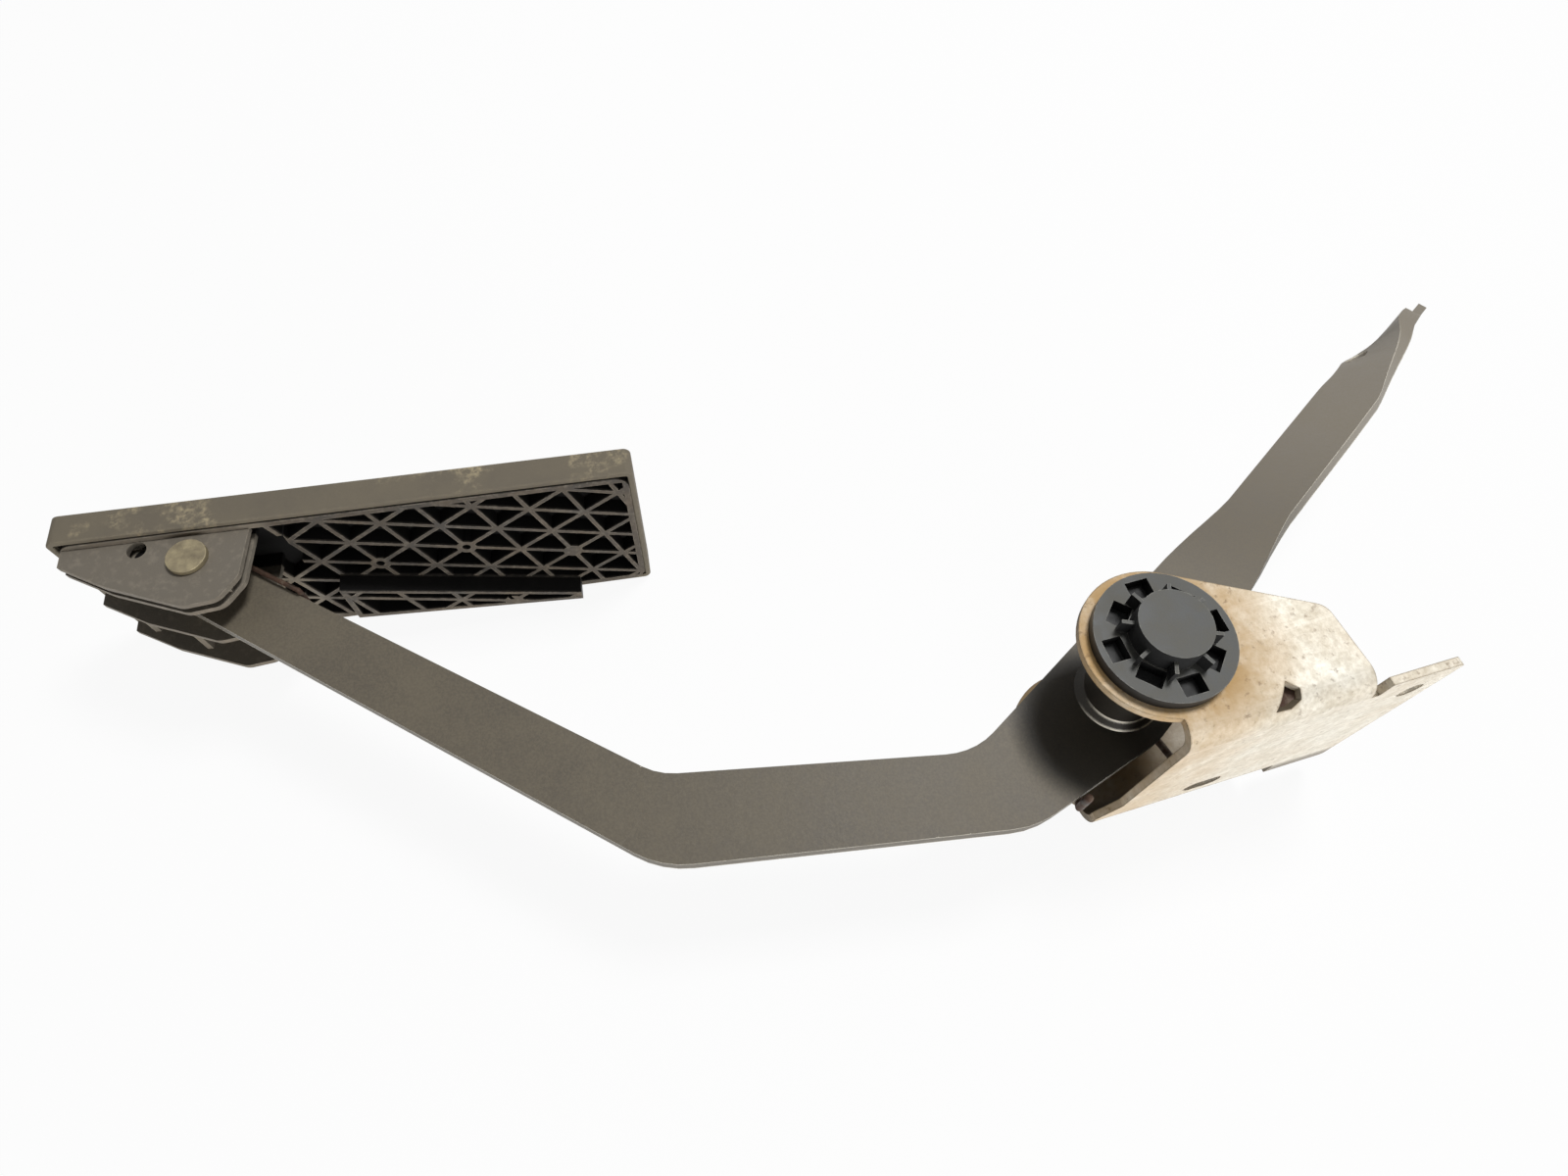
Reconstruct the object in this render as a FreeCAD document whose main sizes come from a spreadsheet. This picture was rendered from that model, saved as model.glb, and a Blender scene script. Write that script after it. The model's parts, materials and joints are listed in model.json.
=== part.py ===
import FreeCAD, Part
import math
import os
import Sketcher

os.makedirs("parts", exist_ok=True)
doc = FreeCAD.newDocument("accelerator_pedal")
sheet = doc.addObject("Spreadsheet::Sheet", "Sizes")

# Every size is in millimetres and every angle in degrees. The origin is the middle of the
# two mounting holes on the outer face of the bracket's web: X points out of the web
# towards the bulkhead, Y runs along the pivot away from the cap, Z runs up the web.
values = {
    # Bracket
    "sheet_thickness": 2.6,
    "bend_radius": 5.2,
    "near_ear_y": -36.2,
    "far_ear_y": 38.8,
    "web_bottom_z": -51.3,
    "web_top_z": 32.2,
    "web_corner_round": 5.0,
    "ear_round_radius": 22.8,
    "ear_corner_x": -27.2,
    "ear_corner_z": 4.4,
    "ear_end_z": 6.0,
    "ear_corner_round": 5.0,
    "ear_hole_radius": 13.0,
    "relief_width": 2.6,
    "relief_depth": 7.0,
    "hole_y": -23.4,
    "hole_z": 22.8,
    "hole_radius": 3.7,
    "slot_length": 13.0,
    "dart_z": -24.0,
    "dart_width": 8.0,
    "dart_reach": 7.5,
    "dart_foot": 6.0,
    "dart_height": 11.0,
    # Pivot
    "pivot_x": -30.0,
    "pivot_z": -47.8,
    "tube_radius": 11.0,
    "journal_radius": 8.0,
    "running_clearance": 0.05,
    "end_clearance": 0.3,
    "journal_length": 14.0,
    "cap_ring_radius": 20.0,
    "cap_ring_thickness": 3.9,
    "cap_boss_radius": 10.4,
    "cap_boss_height": 7.7,
    "window_radius": 15.2,
    "window_width": 7.0,
    "window_depth": 5.6,
    "opening_inner_radius": 11.3,
    "opening_outer_radius": 16.6,
    "opening_sweep": 26.0,
    "opening_root": 38.0,
    "gusset_start": 9.0,
    "gusset_end": 13.8,
    "gusset_thickness": 1.1,
    "gusset_height": 5.0,
    "far_ring_radius": 18.0,
    "far_ring_thickness": 2.6,
    "weld_leg": 2.4,
    # Arm and lever
    "arm_y": -1.2,
    "arm_thickness": 5.2,
    "hub_radius": 19.0,
    "hub_left_x": -18.4,
    "hub_left_z": -5.9,
    "elbow_in_x": 5.9,
    "elbow_in_z": -50.5,
    "elbow_out_x": 31.8,
    "elbow_out_z": -42.0,
    "hub_right_x": 18.3,
    "hub_right_z": 5.0,
    "knee_in_x": -14.0,
    "knee_in_z": -142.5,
    "knee_out_x": 12.2,
    "knee_out_z": -148.0,
    "arm_end_radius": 10.8,
    "arm_end_in_x": -122.7,
    "arm_end_in_z": -258.9,
    "arm_end_out_x": -108.3,
    "arm_end_out_z": -272.4,
    "elbow_in_round": 12.0,
    "elbow_out_round": 22.0,
    "knee_in_round": 6.0,
    "knee_out_round": 14.0,
    "lever_lean": 30.7,
    "lever_left": 12.6,
    "lever_right": 7.8,
    "lever_flare": 18.5,
    "lever_flare_start": 25.0,
    "lever_flare_end": 95.0,
    "lever_flat_end": 164.0,
    "lever_twist_end": 189.0,
    "lever_eye": 198.4,
    "lever_eye_radius": 3.2,
    "lever_shoulder": 212.0,
    "tongue_end": 232.0,
    "tongue_width": 6.4,
    # Pad hinge
    "pin_x": -146.5,
    "pin_z": -312.5,
    "pin_radius": 4.0,
    "pin_head_radius": 6.0,
    "pin_head_height": 1.9,
    "pin_tail": 3.2,
    "bush_wall": 1.6,
    "bush_flange_radius": 7.6,
    "bush_flange": 0.9,
    "clip_radius": 7.0,
    "clip_thickness": 0.9,
    "clip_gap": 0.1,
    "pin_slack": 0.02,
    "spacer_radius": 9.4,
    "spacer_gap": 0.2,
    "spacer_teeth": 24,
    "spacer_tooth": 0.7,
    # Pad
    "pad_slope": 6.84,
    "pin_height": 8.7,
    "pin_along": 41.6,
    "pad_length": 179.0,
    "pad_near_y": -18.4,
    "pad_far_y": 48.9,
    "pad_thickness": 11.0,
    "cover_front": 3.0,
    "cover_skirt": 1.9,
    "cover_corner": 7.0,
    "cover_back_gap": 0.6,
    "groove_depth": 1.4,
    "groove_width": 4.0,
    "groove_pitch": 10.0,
    "groove_margin": 8.0,
    "pad_plate": 2.5,
    "pad_wall": 2.0,
    "rib_width": 1.5,
    "rib_pitch": 18.26,
    "rib_row": 12.16,
    "rib_angle": 17.9,
    "rib_node_along": 66.3,
    "rib_node_across": -5.3,
    "rib_hub_radius": 3.3,
    "rib_hub_hole": 1.5,
    "rail_height": 7.0,
    "rail_wall": 1.8,
    "rail_start": 74.0,
    "rail_end": 152.8,
    "rail_near_start_y": 18.0,
    "rail_near_end_y": 41.0,
    "rail_far_start_y": 37.5,
    "rail_far_end_y": 45.6,
    "cheek_near_y": -14.9,
    "cheek_near_box": 6.1,
    "cheek_far_y": 8.6,
    "cheek_far_box": 20.9,
    "cheek_wall": 1.9,
    "cheek_web": 1.8,
    "cheek_toe_x": 6.0,
    "cheek_toe_z": 3.4,
    "cheek_shin_x": 15.3,
    "cheek_shin_z": 18.5,
    "cheek_low_x": 25.6,
    "cheek_low_z": 41.5,
    "cheek_heel_x": 24.6,
    "cheek_heel_z": 51.5,
    "cheek_back_x": 17.0,
    "cheek_back_z": 57.0,
    "cheek_end_z": 58.5,
    "slot_start": 21.0,
    "slot_end": 66.0,
    "cheek_round": 5.0,
    "cheek_hole_x": 3.2,
    "cheek_hole_z": 25.8,
    "cheek_hole_radius": 2.9,
    # Springs
    "return_wire": 1.2,
    "return_coil": 14.2,
    "return_turns": 5.5,
    "return_pitch": 2.9,
    "return_gap": 3.2,
    "return_hook_x": 28.6,
    "return_hook_z": -24.0,
    "return_foot_z": 21.0,
    "pad_wire": 0.8,
    "pad_coil": 9.2,
    "pad_turns": 2.6,
    "pad_pitch": 1.75,
    "pad_leg_length": 28.0,
}

rows = {}


def add_row(name, text):
    number = len(rows) + 1
    rows[name] = number
    sheet.set("A%d" % number, name)
    sheet.set("B%d" % number, text)
    sheet.setAlias("B%d" % number, name)


for name, value in values.items():
    add_row(name, str(value))
doc.recompute()


def derive(name, text):
    """Adds a row worked out from other rows and returns its name."""
    add_row(name, "=" + text)
    return name


def size(name):
    number = sheet.get(name)
    return float(getattr(number, "Value", number))


def bind(obj, prop, name, factor=""):
    obj.setExpression(prop, "%sSizes.%s" % (factor, name))


# Points and heights that follow from the sizes above
lever_x = "(-sin(lever_lean))"
lever_z = "cos(lever_lean)"


def lever_point(name, along, across):
    """A point on the lever: along it from the pivot, and across it towards the web."""
    derive(name + "_x", "pivot_x + %s * %s + (%s) * cos(lever_lean)" % (along, lever_x, across))
    derive(name + "_z", "pivot_z + %s * %s + (%s) * sin(lever_lean)" % (along, lever_z, across))


def pivot_point(name):
    """A point given from the pivot, placed in the frame."""
    derive("at_" + name + "_x", "pivot_x + %s_x" % name)
    derive("at_" + name + "_z", "pivot_z + %s_z" % name)


lever_point("flat_left", "lever_flat_end", "-lever_left")
lever_point("flat_right", "lever_flat_end", "lever_right")
lever_point("flare_left", "lever_flare_end", "-lever_left")
lever_point("flare_right", "lever_flare_end", "lever_right")
lever_point("root_left", "lever_flare_start", "-lever_flare")
lever_point("root_right", "lever_flare_start", "lever_flare")
for spot in ("hub_left", "elbow_in", "knee_in", "arm_end_in", "arm_end_out", "knee_out",
             "elbow_out", "hub_right"):
    pivot_point(spot)

derive("near_inside_y", "near_ear_y + sheet_thickness")
derive("far_inside_y", "far_ear_y - sheet_thickness")
derive("web_width", "far_ear_y - near_ear_y")
derive("web_inside_x", "-sheet_thickness")
derive("bend_inside", "bend_radius - sheet_thickness")
derive("slot_y", "-hole_y")
derive("slot_z", "-hole_z")
derive("slot_half", "slot_length / 2 - hole_radius")
derive("slot_low_z", "slot_z - slot_half")
derive("slot_high_z", "slot_z + slot_half")
derive("slot_left_y", "slot_y - hole_radius")
derive("slot_right_y", "slot_y + hole_radius")
derive("relief_end_z", "ear_end_z + relief_width")
derive("relief_near_y", "near_ear_y + relief_depth")
derive("relief_far_y", "far_ear_y - relief_depth")
derive("bend_end_x", "-1 * (bend_radius + 1)")
derive("foot_dx", "bend_end_x - pivot_x")
derive("foot_dz", "web_bottom_z - pivot_z")
derive("foot_turn", "atan2(foot_dz; foot_dx) - acos(ear_round_radius / hypot(foot_dx; foot_dz))")
derive("head_dx", "ear_corner_x - pivot_x")
derive("head_dz", "ear_corner_z - pivot_z")
derive("head_turn", "atan2(head_dz; head_dx) + acos(ear_round_radius / hypot(head_dx; head_dz))")
derive("ear_low_x", "pivot_x + ear_round_radius * cos(foot_turn)")
derive("ear_low_z", "pivot_z + ear_round_radius * sin(foot_turn)")
derive("ear_high_x", "pivot_x + ear_round_radius * cos(head_turn)")
derive("ear_high_z", "pivot_z + ear_round_radius * sin(head_turn)")
derive("arm_far_y", "arm_y + arm_thickness")
derive("tube_near_y", "near_inside_y + end_clearance")
derive("tube_far_y", "far_inside_y - end_clearance")
derive("tube_length", "tube_far_y - tube_near_y")
derive("tube_bore", "journal_radius + running_clearance")
derive("cap_front_y", "near_ear_y - cap_ring_thickness")
derive("cap_boss_y", "cap_front_y - cap_boss_height")
derive("cap_boss_length", "near_ear_y - cap_boss_y")
derive("journal_near_length", "sheet_thickness + journal_length")

derive("far_ring_y", "far_ear_y + far_ring_thickness")
derive("lever_width", "lever_left + lever_right")
derive("bush_radius", "pin_radius + bush_wall")
derive("pad_back_x", "pin_x - pin_height * cos(pad_slope) - pin_along * sin(pad_slope)")
derive("pad_back_z", "pin_z + pin_height * sin(pad_slope) - pin_along * cos(pad_slope)")
derive("front_x", "-pad_thickness")
derive("plate_x", "cover_front - pad_thickness")
derive("pocket_x", "plate_x + pad_plate")
derive("pocket_depth", "-pocket_x")
derive("block_depth", "-plate_x")
derive("shell_near_y", "pad_near_y + cover_skirt")
derive("shell_far_y", "pad_far_y - cover_skirt")
derive("shell_low_z", "cover_skirt")
derive("shell_high_z", "pad_length - cover_skirt")
derive("shell_corner", "cover_corner - cover_skirt")
derive("well_near_y", "shell_near_y + pad_wall")
derive("well_far_y", "shell_far_y - pad_wall")
derive("well_low_z", "shell_low_z + pad_wall")
derive("well_high_z", "shell_high_z - pad_wall")
derive("cover_depth", "pad_thickness - cover_back_gap")
derive("cover_back_x", "-cover_back_gap")
derive("cover_well", "cover_depth - cover_front")
derive("pad_low_z", "0 * pad_length")
derive("cheek_near_inside_y", "cheek_near_y + cheek_near_box")
derive("cheek_near_second_y", "cheek_near_inside_y - cheek_wall")
derive("cheek_far_second_y", "cheek_far_y + cheek_far_box - cheek_wall")
derive("cheek_far_outside_y", "cheek_far_y + cheek_far_box")
derive("bush_near_y", "arm_y - bush_flange")
derive("bush_length", "arm_thickness + 2 * bush_flange")
derive("spacer_near_y", "arm_far_y + bush_flange + spacer_gap")
derive("spacer_length", "cheek_far_y - spacer_near_y - spacer_gap / 2")
derive("pin_head_y", "cheek_near_y - pin_head_height")
derive("pin_length", "cheek_far_outside_y - cheek_near_y + pin_tail")
derive("clip_y", "cheek_far_outside_y + clip_gap")
derive("bush_bore", "pin_radius + running_clearance")
derive("pin_seat", "pin_radius + pin_slack")
derive("weld_in_x", "pivot_x + tube_radius")
derive("weld_out_x", "weld_in_x + weld_leg")
derive("near_weld_y", "arm_y - weld_leg")
derive("far_weld_y", "arm_far_y + weld_leg")
derive("round_near_y", "shell_near_y + shell_corner")
derive("round_far_y", "shell_far_y - shell_corner")
derive("round_low_z", "shell_low_z + shell_corner")
derive("round_high_z", "shell_high_z - shell_corner")
derive("groove_near_y", "pad_near_y + groove_margin")
derive("groove_far_y", "pad_far_y - groove_margin")
derive("groove_end_z", "groove_margin + groove_width")
derive("groove_span", "pad_length - 2 * groove_margin - groove_width")
derive("groove_count", "floor(groove_span / groove_pitch) + 1")
derive("groove_run", "(groove_count - 1) * groove_pitch")

windows = {"window_back": (-1, 0), "window_top": (0, 1), "window_front": (1, 0), "window_low": (0, -1)}
openings = {"opening_a": 45, "opening_b": 135, "opening_c": 225, "opening_d": 315}
gussets = {"gusset_a": 24, "gusset_b": 66, "gusset_c": 114, "gusset_d": 156, "gusset_e": 204, "gusset_f": 246,
           "gusset_g": 294, "gusset_h": 336}
teeth = int(size("spacer_teeth"))


def derive_turned(name, middle, radius, angle):
    """A spot at a radius and an angle about the pivot or the pin."""
    derive(name + "_x", "%s_x + %s * cos(%s)" % (middle, radius, angle))
    derive(name + "_z", "%s_z + %s * sin(%s)" % (middle, radius, angle))


for name, (side_x, side_z) in windows.items():
    half_x = "window_depth / 2" if side_x else "window_width / 2"
    half_z = "window_depth / 2" if side_z else "window_width / 2"
    derive(name + "_left", "pivot_x + %d * window_radius - %s" % (side_x, half_x))
    derive(name + "_right", "pivot_x + %d * window_radius + %s" % (side_x, half_x))
    derive(name + "_low", "pivot_z + %d * window_radius - %s" % (side_z, half_z))
    derive(name + "_high", "pivot_z + %d * window_radius + %s" % (side_z, half_z))

for name, middle in openings.items():
    derive_turned(name + "_0", "pivot", "opening_inner_radius", "%d - opening_root / 2" % middle)
    derive_turned(name + "_1", "pivot", "opening_outer_radius", "%d - opening_sweep / 2" % middle)
    derive_turned(name + "_2", "pivot", "opening_outer_radius", "%d + opening_sweep / 2" % middle)
    derive_turned(name + "_3", "pivot", "opening_inner_radius", "%d + opening_root / 2" % middle)

for name, angle in gussets.items():
    for place, radius in (("in", "gusset_start"), ("out", "gusset_end")):
        for side, sign in (("left", 1), ("right", -1)):
            spot = "%s_%s_%s" % (name, side, place)
            derive(spot + "_x", "pivot_x + %s * cos(%d) + %d * gusset_thickness / 2 * sin(%d)"
                   % (radius, angle, sign, angle))
            derive(spot + "_z", "pivot_z + %s * sin(%d) - %d * gusset_thickness / 2 * cos(%d)"
                   % (radius, angle, sign, angle))

derive("spacer_root", "spacer_radius - spacer_tooth")
for index in range(2 * teeth):
    derive_turned("tooth_%d" % index, "pin", "spacer_radius" if index % 2 else "spacer_root",
                  "%.4f" % (180.0 * index / teeth))
doc.recompute()

sub_parts = []


def new_body(name):
    body = doc.addObject("PartDesign::Body", name)
    body.Label = name
    sub_parts.append(body)
    return body


def origin_plane(body, role):
    return [item for item in body.Origin.OriginFeatures if item.Role == role][0]


def new_sketch(body, name, role, level, sign=""):
    """A sketch on one of the body's own planes, raised to the named level."""
    sketch = body.newObject("Sketcher::SketchObject", name)
    sketch.AttachmentSupport = (origin_plane(body, role), [""])
    sketch.MapMode = "FlatFace"
    if level:
        bind(sketch, "AttachmentOffset.Base.z", level, sign)
    return sketch


def side_sketch(body, name, level):
    """A sketch in X and Z at the named Y."""
    return new_sketch(body, name, "XZ_Plane", level, "-1 * ")


def face_sketch(body, name, level):
    """A sketch in Y and Z at the named X."""
    return new_sketch(body, name, "YZ_Plane", level)


def hold_point(sketch, geometry, end, across, up):
    """Ties a point of the sketch to two rows of the sheet."""
    one = sketch.addConstraint(Sketcher.Constraint("DistanceX", -1, 1, geometry, end, size(across)))
    bind(sketch, "Constraints[%d]" % one, across)
    two = sketch.addConstraint(Sketcher.Constraint("DistanceY", -1, 1, geometry, end, size(up)))
    bind(sketch, "Constraints[%d]" % two, up)


def add_polygon(sketch, names):
    """Each corner is a pair of row names."""
    spots = [FreeCAD.Vector(size(a), size(b), 0) for a, b in names]
    first = sketch.GeometryCount
    count = len(spots)
    for index in range(count):
        line = Part.LineSegment(spots[index], spots[(index + 1) % count])
        sketch.addGeometry(line, False)
    for index in range(count):
        following = first + (index + 1) % count
        sketch.addConstraint(Sketcher.Constraint("Coincident", first + index, 2, following, 1))
    for index, (across, up) in enumerate(names):
        hold_point(sketch, first + index, 1, across, up)


def add_circle(sketch, across, up, radius):
    center = FreeCAD.Vector(size(across), size(up), 0)
    number = sketch.addGeometry(Part.Circle(center, FreeCAD.Vector(0, 0, 1), size(radius)), False)
    rule = sketch.addConstraint(Sketcher.Constraint("Radius", number, size(radius)))
    bind(sketch, "Constraints[%d]" % rule, radius)
    hold_point(sketch, number, 3, across, up)


def add_pad(body, name, sketch, length, back=False):
    pad = body.newObject("PartDesign::Pad", name)
    pad.Profile = sketch
    bind(pad, "Length", length)
    pad.Reversed = back
    body.Tip = pad
    doc.recompute()
    return pad


def add_pocket(body, name, sketch, length, back=False):
    before = body.Shape.Volume
    pocket = body.newObject("PartDesign::Pocket", name)
    pocket.Profile = sketch
    bind(pocket, "Length", length)
    pocket.Reversed = back
    body.Tip = pocket
    doc.recompute()
    if body.Shape.Volume >= before - 1e-6:
        raise RuntimeError(name + " cuts nothing")
    return pocket


def edges_at(shape, axis, spots, reach=0.3):
    """Names of the straight edges along one axis that pass through the given points."""
    found = []
    for number, edge in enumerate(shape.Edges, start=1):
        if len(edge.Vertexes) != 2:
            continue
        start = edge.Vertexes[0].Point
        step = edge.Vertexes[1].Point - start
        if step.Length < 1e-6 or abs(abs(step[axis]) - step.Length) > 1e-4:
            continue
        for spot in spots:
            gaps = [abs(start[i] - spot[i]) for i in range(3) if i != axis and spot[i] is not None]
            middle = start[axis] + step[axis] / 2
            near = spot[axis] is None or abs(middle - spot[axis]) < abs(step[axis]) / 2 + reach
            if max(gaps) < reach and near:
                found.append("Edge%d" % number)
                break
    return found


def add_fillet(body, name, axis, spots, radius):
    tip = body.Tip
    edges = edges_at(tip.Shape, axis, spots)
    if len(edges) < len(spots):
        raise RuntimeError("%s finds %d of %d edges" % (name, len(edges), len(spots)))
    fillet = body.newObject("PartDesign::Fillet", name)
    fillet.Base = (tip, edges)
    bind(fillet, "Radius", radius)
    body.Tip = fillet
    doc.recompute()
    if fillet.Shape.isNull() or not fillet.Shape.isValid():
        raise RuntimeError(name + " is not valid")
    return fillet


def at(name):
    return size(name + "_x"), None, size(name + "_z")


def disc(body, name, level, radius, length, back=True, across="pivot_x", up="pivot_z"):
    sketch = side_sketch(body, name + "_sketch", level)
    add_circle(sketch, across, up, radius)
    return add_pad(body, name, sketch, length, back)


def bore(body, name, level, radius, length, back=True, across="pivot_x", up="pivot_z"):
    sketch = side_sketch(body, name + "_sketch", level)
    add_circle(sketch, across, up, radius)
    return add_pocket(body, name, sketch, length, not back)


# Mounting bracket: a web folded into two ears
def build_ear(body, name, level):
    sketch = side_sketch(body, name + "_sketch", level)
    add_polygon(sketch, [("pad_low_z", "web_bottom_z"), ("bend_end_x", "web_bottom_z"), ("ear_low_x", "ear_low_z"),
                         ("pivot_x", "pivot_z"), ("ear_high_x", "ear_high_z"), ("ear_corner_x", "ear_corner_z"),
                         ("bend_end_x", "ear_end_z"), ("pad_low_z", "ear_end_z")])
    add_pad(body, name, sketch, "sheet_thickness", True)
    disc(body, name + "_round", level, "ear_round_radius", "sheet_thickness")


def build_relief(body, name, edge, inner):
    sketch = face_sketch(body, name + "_sketch", "pad_low_z")
    add_polygon(sketch, [(edge, "ear_end_z"), (inner, "ear_end_z"), (inner, "relief_end_z"),
                         (edge, "relief_end_z")])
    add_pocket(body, name, sketch, "bend_radius")


def build_bracket():
    body = new_body("mounting_bracket")
    web = face_sketch(body, "web_sketch", "web_inside_x")
    add_polygon(web, [("near_ear_y", "web_bottom_z"), ("far_ear_y", "web_bottom_z"),
                      ("far_ear_y", "web_top_z"), ("near_ear_y", "web_top_z")])
    add_pad(body, "web", web, "sheet_thickness")
    build_ear(body, "near_ear", "near_ear_y")
    build_ear(body, "far_ear", "far_inside_y")
    build_relief(body, "near_relief", "near_ear_y", "relief_near_y")
    build_relief(body, "far_relief", "far_ear_y", "relief_far_y")
    low = size("web_bottom_z")
    middle = (low + size("ear_end_z")) / 2
    add_fillet(body, "inner_bends", 2, [(size("web_inside_x"), size("near_inside_y"), middle),
                                        (size("web_inside_x"), size("far_inside_y"), middle)], "bend_inside")
    add_fillet(body, "outer_bends", 2, [(0.0, size("near_ear_y"), middle),
                                        (0.0, size("far_ear_y"), middle)], "bend_radius")
    corner = (size("ear_corner_x"), None, size("ear_corner_z"))
    add_fillet(body, "ear_corners", 1, [corner], "ear_corner_round")
    top = size("web_top_z")
    add_fillet(body, "web_corners", 0, [(None, size("near_ear_y"), top), (None, size("far_ear_y"), top)],
               "web_corner_round")
    bore(body, "near_ear_hole", "near_ear_y", "ear_hole_radius", "sheet_thickness")
    bore(body, "far_ear_hole", "far_inside_y", "ear_hole_radius", "sheet_thickness")
    hole = face_sketch(body, "mount_hole_sketch", "pad_low_z")
    add_circle(hole, "hole_y", "hole_z", "hole_radius")
    add_pocket(body, "mount_hole", hole, "sheet_thickness")
    slot = face_sketch(body, "mount_slot_sketch", "pad_low_z")
    add_polygon(slot, [("slot_left_y", "slot_low_z"), ("slot_right_y", "slot_low_z"),
                       ("slot_right_y", "slot_high_z"), ("slot_left_y", "slot_high_z")])
    add_pocket(body, "mount_slot", slot, "sheet_thickness")
    for end in ("low", "high"):
        round_end = face_sketch(body, "slot_%s_sketch" % end, "pad_low_z")
        add_circle(round_end, "slot_y", "slot_%s_z" % end, "hole_radius")
        add_pocket(body, "slot_%s_end" % end, round_end, "sheet_thickness")
    return body


# Moulded plug bushes that carry the arm's tube
def cut_opening(body, name):
    """An opening in the flange with four corners given by angle and radius."""
    sketch = side_sketch(body, name + "_sketch", "cap_front_y")
    add_polygon(sketch, [("%s_%d_x" % (name, index), "%s_%d_z" % (name, index)) for index in range(4)])
    add_pocket(body, name, sketch, "cap_ring_thickness")


def cut_window(body, name):
    """A square window in the flange on one of the four sides."""
    sketch = side_sketch(body, name + "_sketch", "cap_front_y")
    add_polygon(sketch, [(name + "_left", name + "_low"), (name + "_right", name + "_low"),
                         (name + "_right", name + "_high"), (name + "_left", name + "_high")])
    add_pocket(body, name, sketch, "cap_ring_thickness")


def add_gusset(body, name):
    """A thin web between the ring and the side of the boss."""
    sketch = side_sketch(body, name + "_sketch", "cap_front_y")
    add_polygon(sketch, [(name + "_left_in_x", name + "_left_in_z"), (name + "_left_out_x", name + "_left_out_z"),
                         (name + "_right_out_x", name + "_right_out_z"), (name + "_right_in_x", name + "_right_in_z")])
    add_pad(body, name, sketch, "gusset_height")


def build_near_bush():
    body = new_body("near_bush")
    disc(body, "cap_flange", "cap_front_y", "cap_ring_radius", "cap_ring_thickness")
    for name in windows:
        cut_window(body, name)
    for name in openings:
        cut_opening(body, name)
    disc(body, "cap_spigot", "near_ear_y", "ear_hole_radius", "sheet_thickness")
    disc(body, "cap_journal", "near_ear_y", "journal_radius", "journal_near_length")
    disc(body, "cap_boss", "cap_boss_y", "cap_boss_radius", "cap_boss_length")
    for name in gussets:
        add_gusset(body, name)
    return body


def build_far_bush():
    body = new_body("far_bush")
    disc(body, "far_flange", "far_ear_y", "far_ring_radius", "far_ring_thickness")
    disc(body, "far_spigot", "far_ear_y", "ear_hole_radius", "sheet_thickness", False)
    disc(body, "far_journal", "far_ear_y", "journal_radius", "journal_near_length", False)
    bore(body, "far_core", "far_ring_y", "pin_head_radius", "journal_length", False)
    return body


def build_tube():
    body = new_body("hub_tube")
    disc(body, "tube", "tube_near_y", "tube_radius", "tube_length")
    bore(body, "tube_hole", "tube_near_y", "tube_bore", "tube_length")
    return body


# Pedal arm: one strip with the cable lever twisted a quarter turn at its top
def build_flat_arm():
    body = doc.addObject("PartDesign::Body", "flat_arm")
    sketch = side_sketch(body, "arm_sketch", "arm_y")
    names = ["flat_left", "flare_left", "root_left", "at_hub_left", "at_elbow_in", "at_knee_in",
             "at_arm_end_in", "at_arm_end_out", "at_knee_out", "at_elbow_out", "at_hub_right",
             "root_right", "flare_right", "flat_right"]
    add_polygon(sketch, [(name + "_x", name + "_z") for name in names])
    add_pad(body, "arm_strip", sketch, "arm_thickness", True)
    disc(body, "arm_hub", "arm_y", "hub_radius", "arm_thickness")
    disc(body, "arm_end", "arm_y", "arm_end_radius", "arm_thickness", True, "pin_x", "pin_z")
    add_fillet(body, "elbow_in", 1, [at("at_elbow_in")], "elbow_in_round")
    add_fillet(body, "elbow_out", 1, [at("at_elbow_out")], "elbow_out_round")
    add_fillet(body, "knee_in", 1, [at("at_knee_in")], "knee_in_round")
    add_fillet(body, "knee_out", 1, [at("at_knee_out")], "knee_out_round")
    bore(body, "tube_seat", "arm_y", "tube_radius", "arm_thickness")
    bore(body, "bush_seat", "arm_y", "bush_radius", "arm_thickness", True, "pin_x", "pin_z")
    return body


def lever_section(along, turn, width, thick):
    """A rectangle across the lever, turned about the lever's own middle line."""
    lean = math.radians(size("lever_lean"))
    offset = (size("lever_right") - size("lever_left")) / 2
    run = FreeCAD.Vector(-math.sin(lean), 0, math.cos(lean))
    side = FreeCAD.Vector(math.cos(lean), 0, math.sin(lean))
    deep = FreeCAD.Vector(0, 1, 0)
    middle = FreeCAD.Vector(size("pivot_x"), size("arm_y") + size("arm_thickness") / 2, size("pivot_z"))
    middle = middle + run * along + side * offset
    angle = math.radians(turn)
    wide = side * math.cos(angle) - deep * math.sin(angle)
    flat = side * math.sin(angle) + deep * math.cos(angle)
    corners = []
    for a, b in ((-0.5, -0.5), (0.5, -0.5), (0.5, 0.5), (-0.5, 0.5)):
        corners.append(middle + wide * (a * width) + flat * (b * thick))
    return Part.makePolygon(corners + corners[:1])


def lever_block(start, end, width):
    thick = size("arm_thickness")
    return Part.makeLoft([lever_section(start, 90, width, thick), lever_section(end, 90, width, thick)], True, True)


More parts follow.
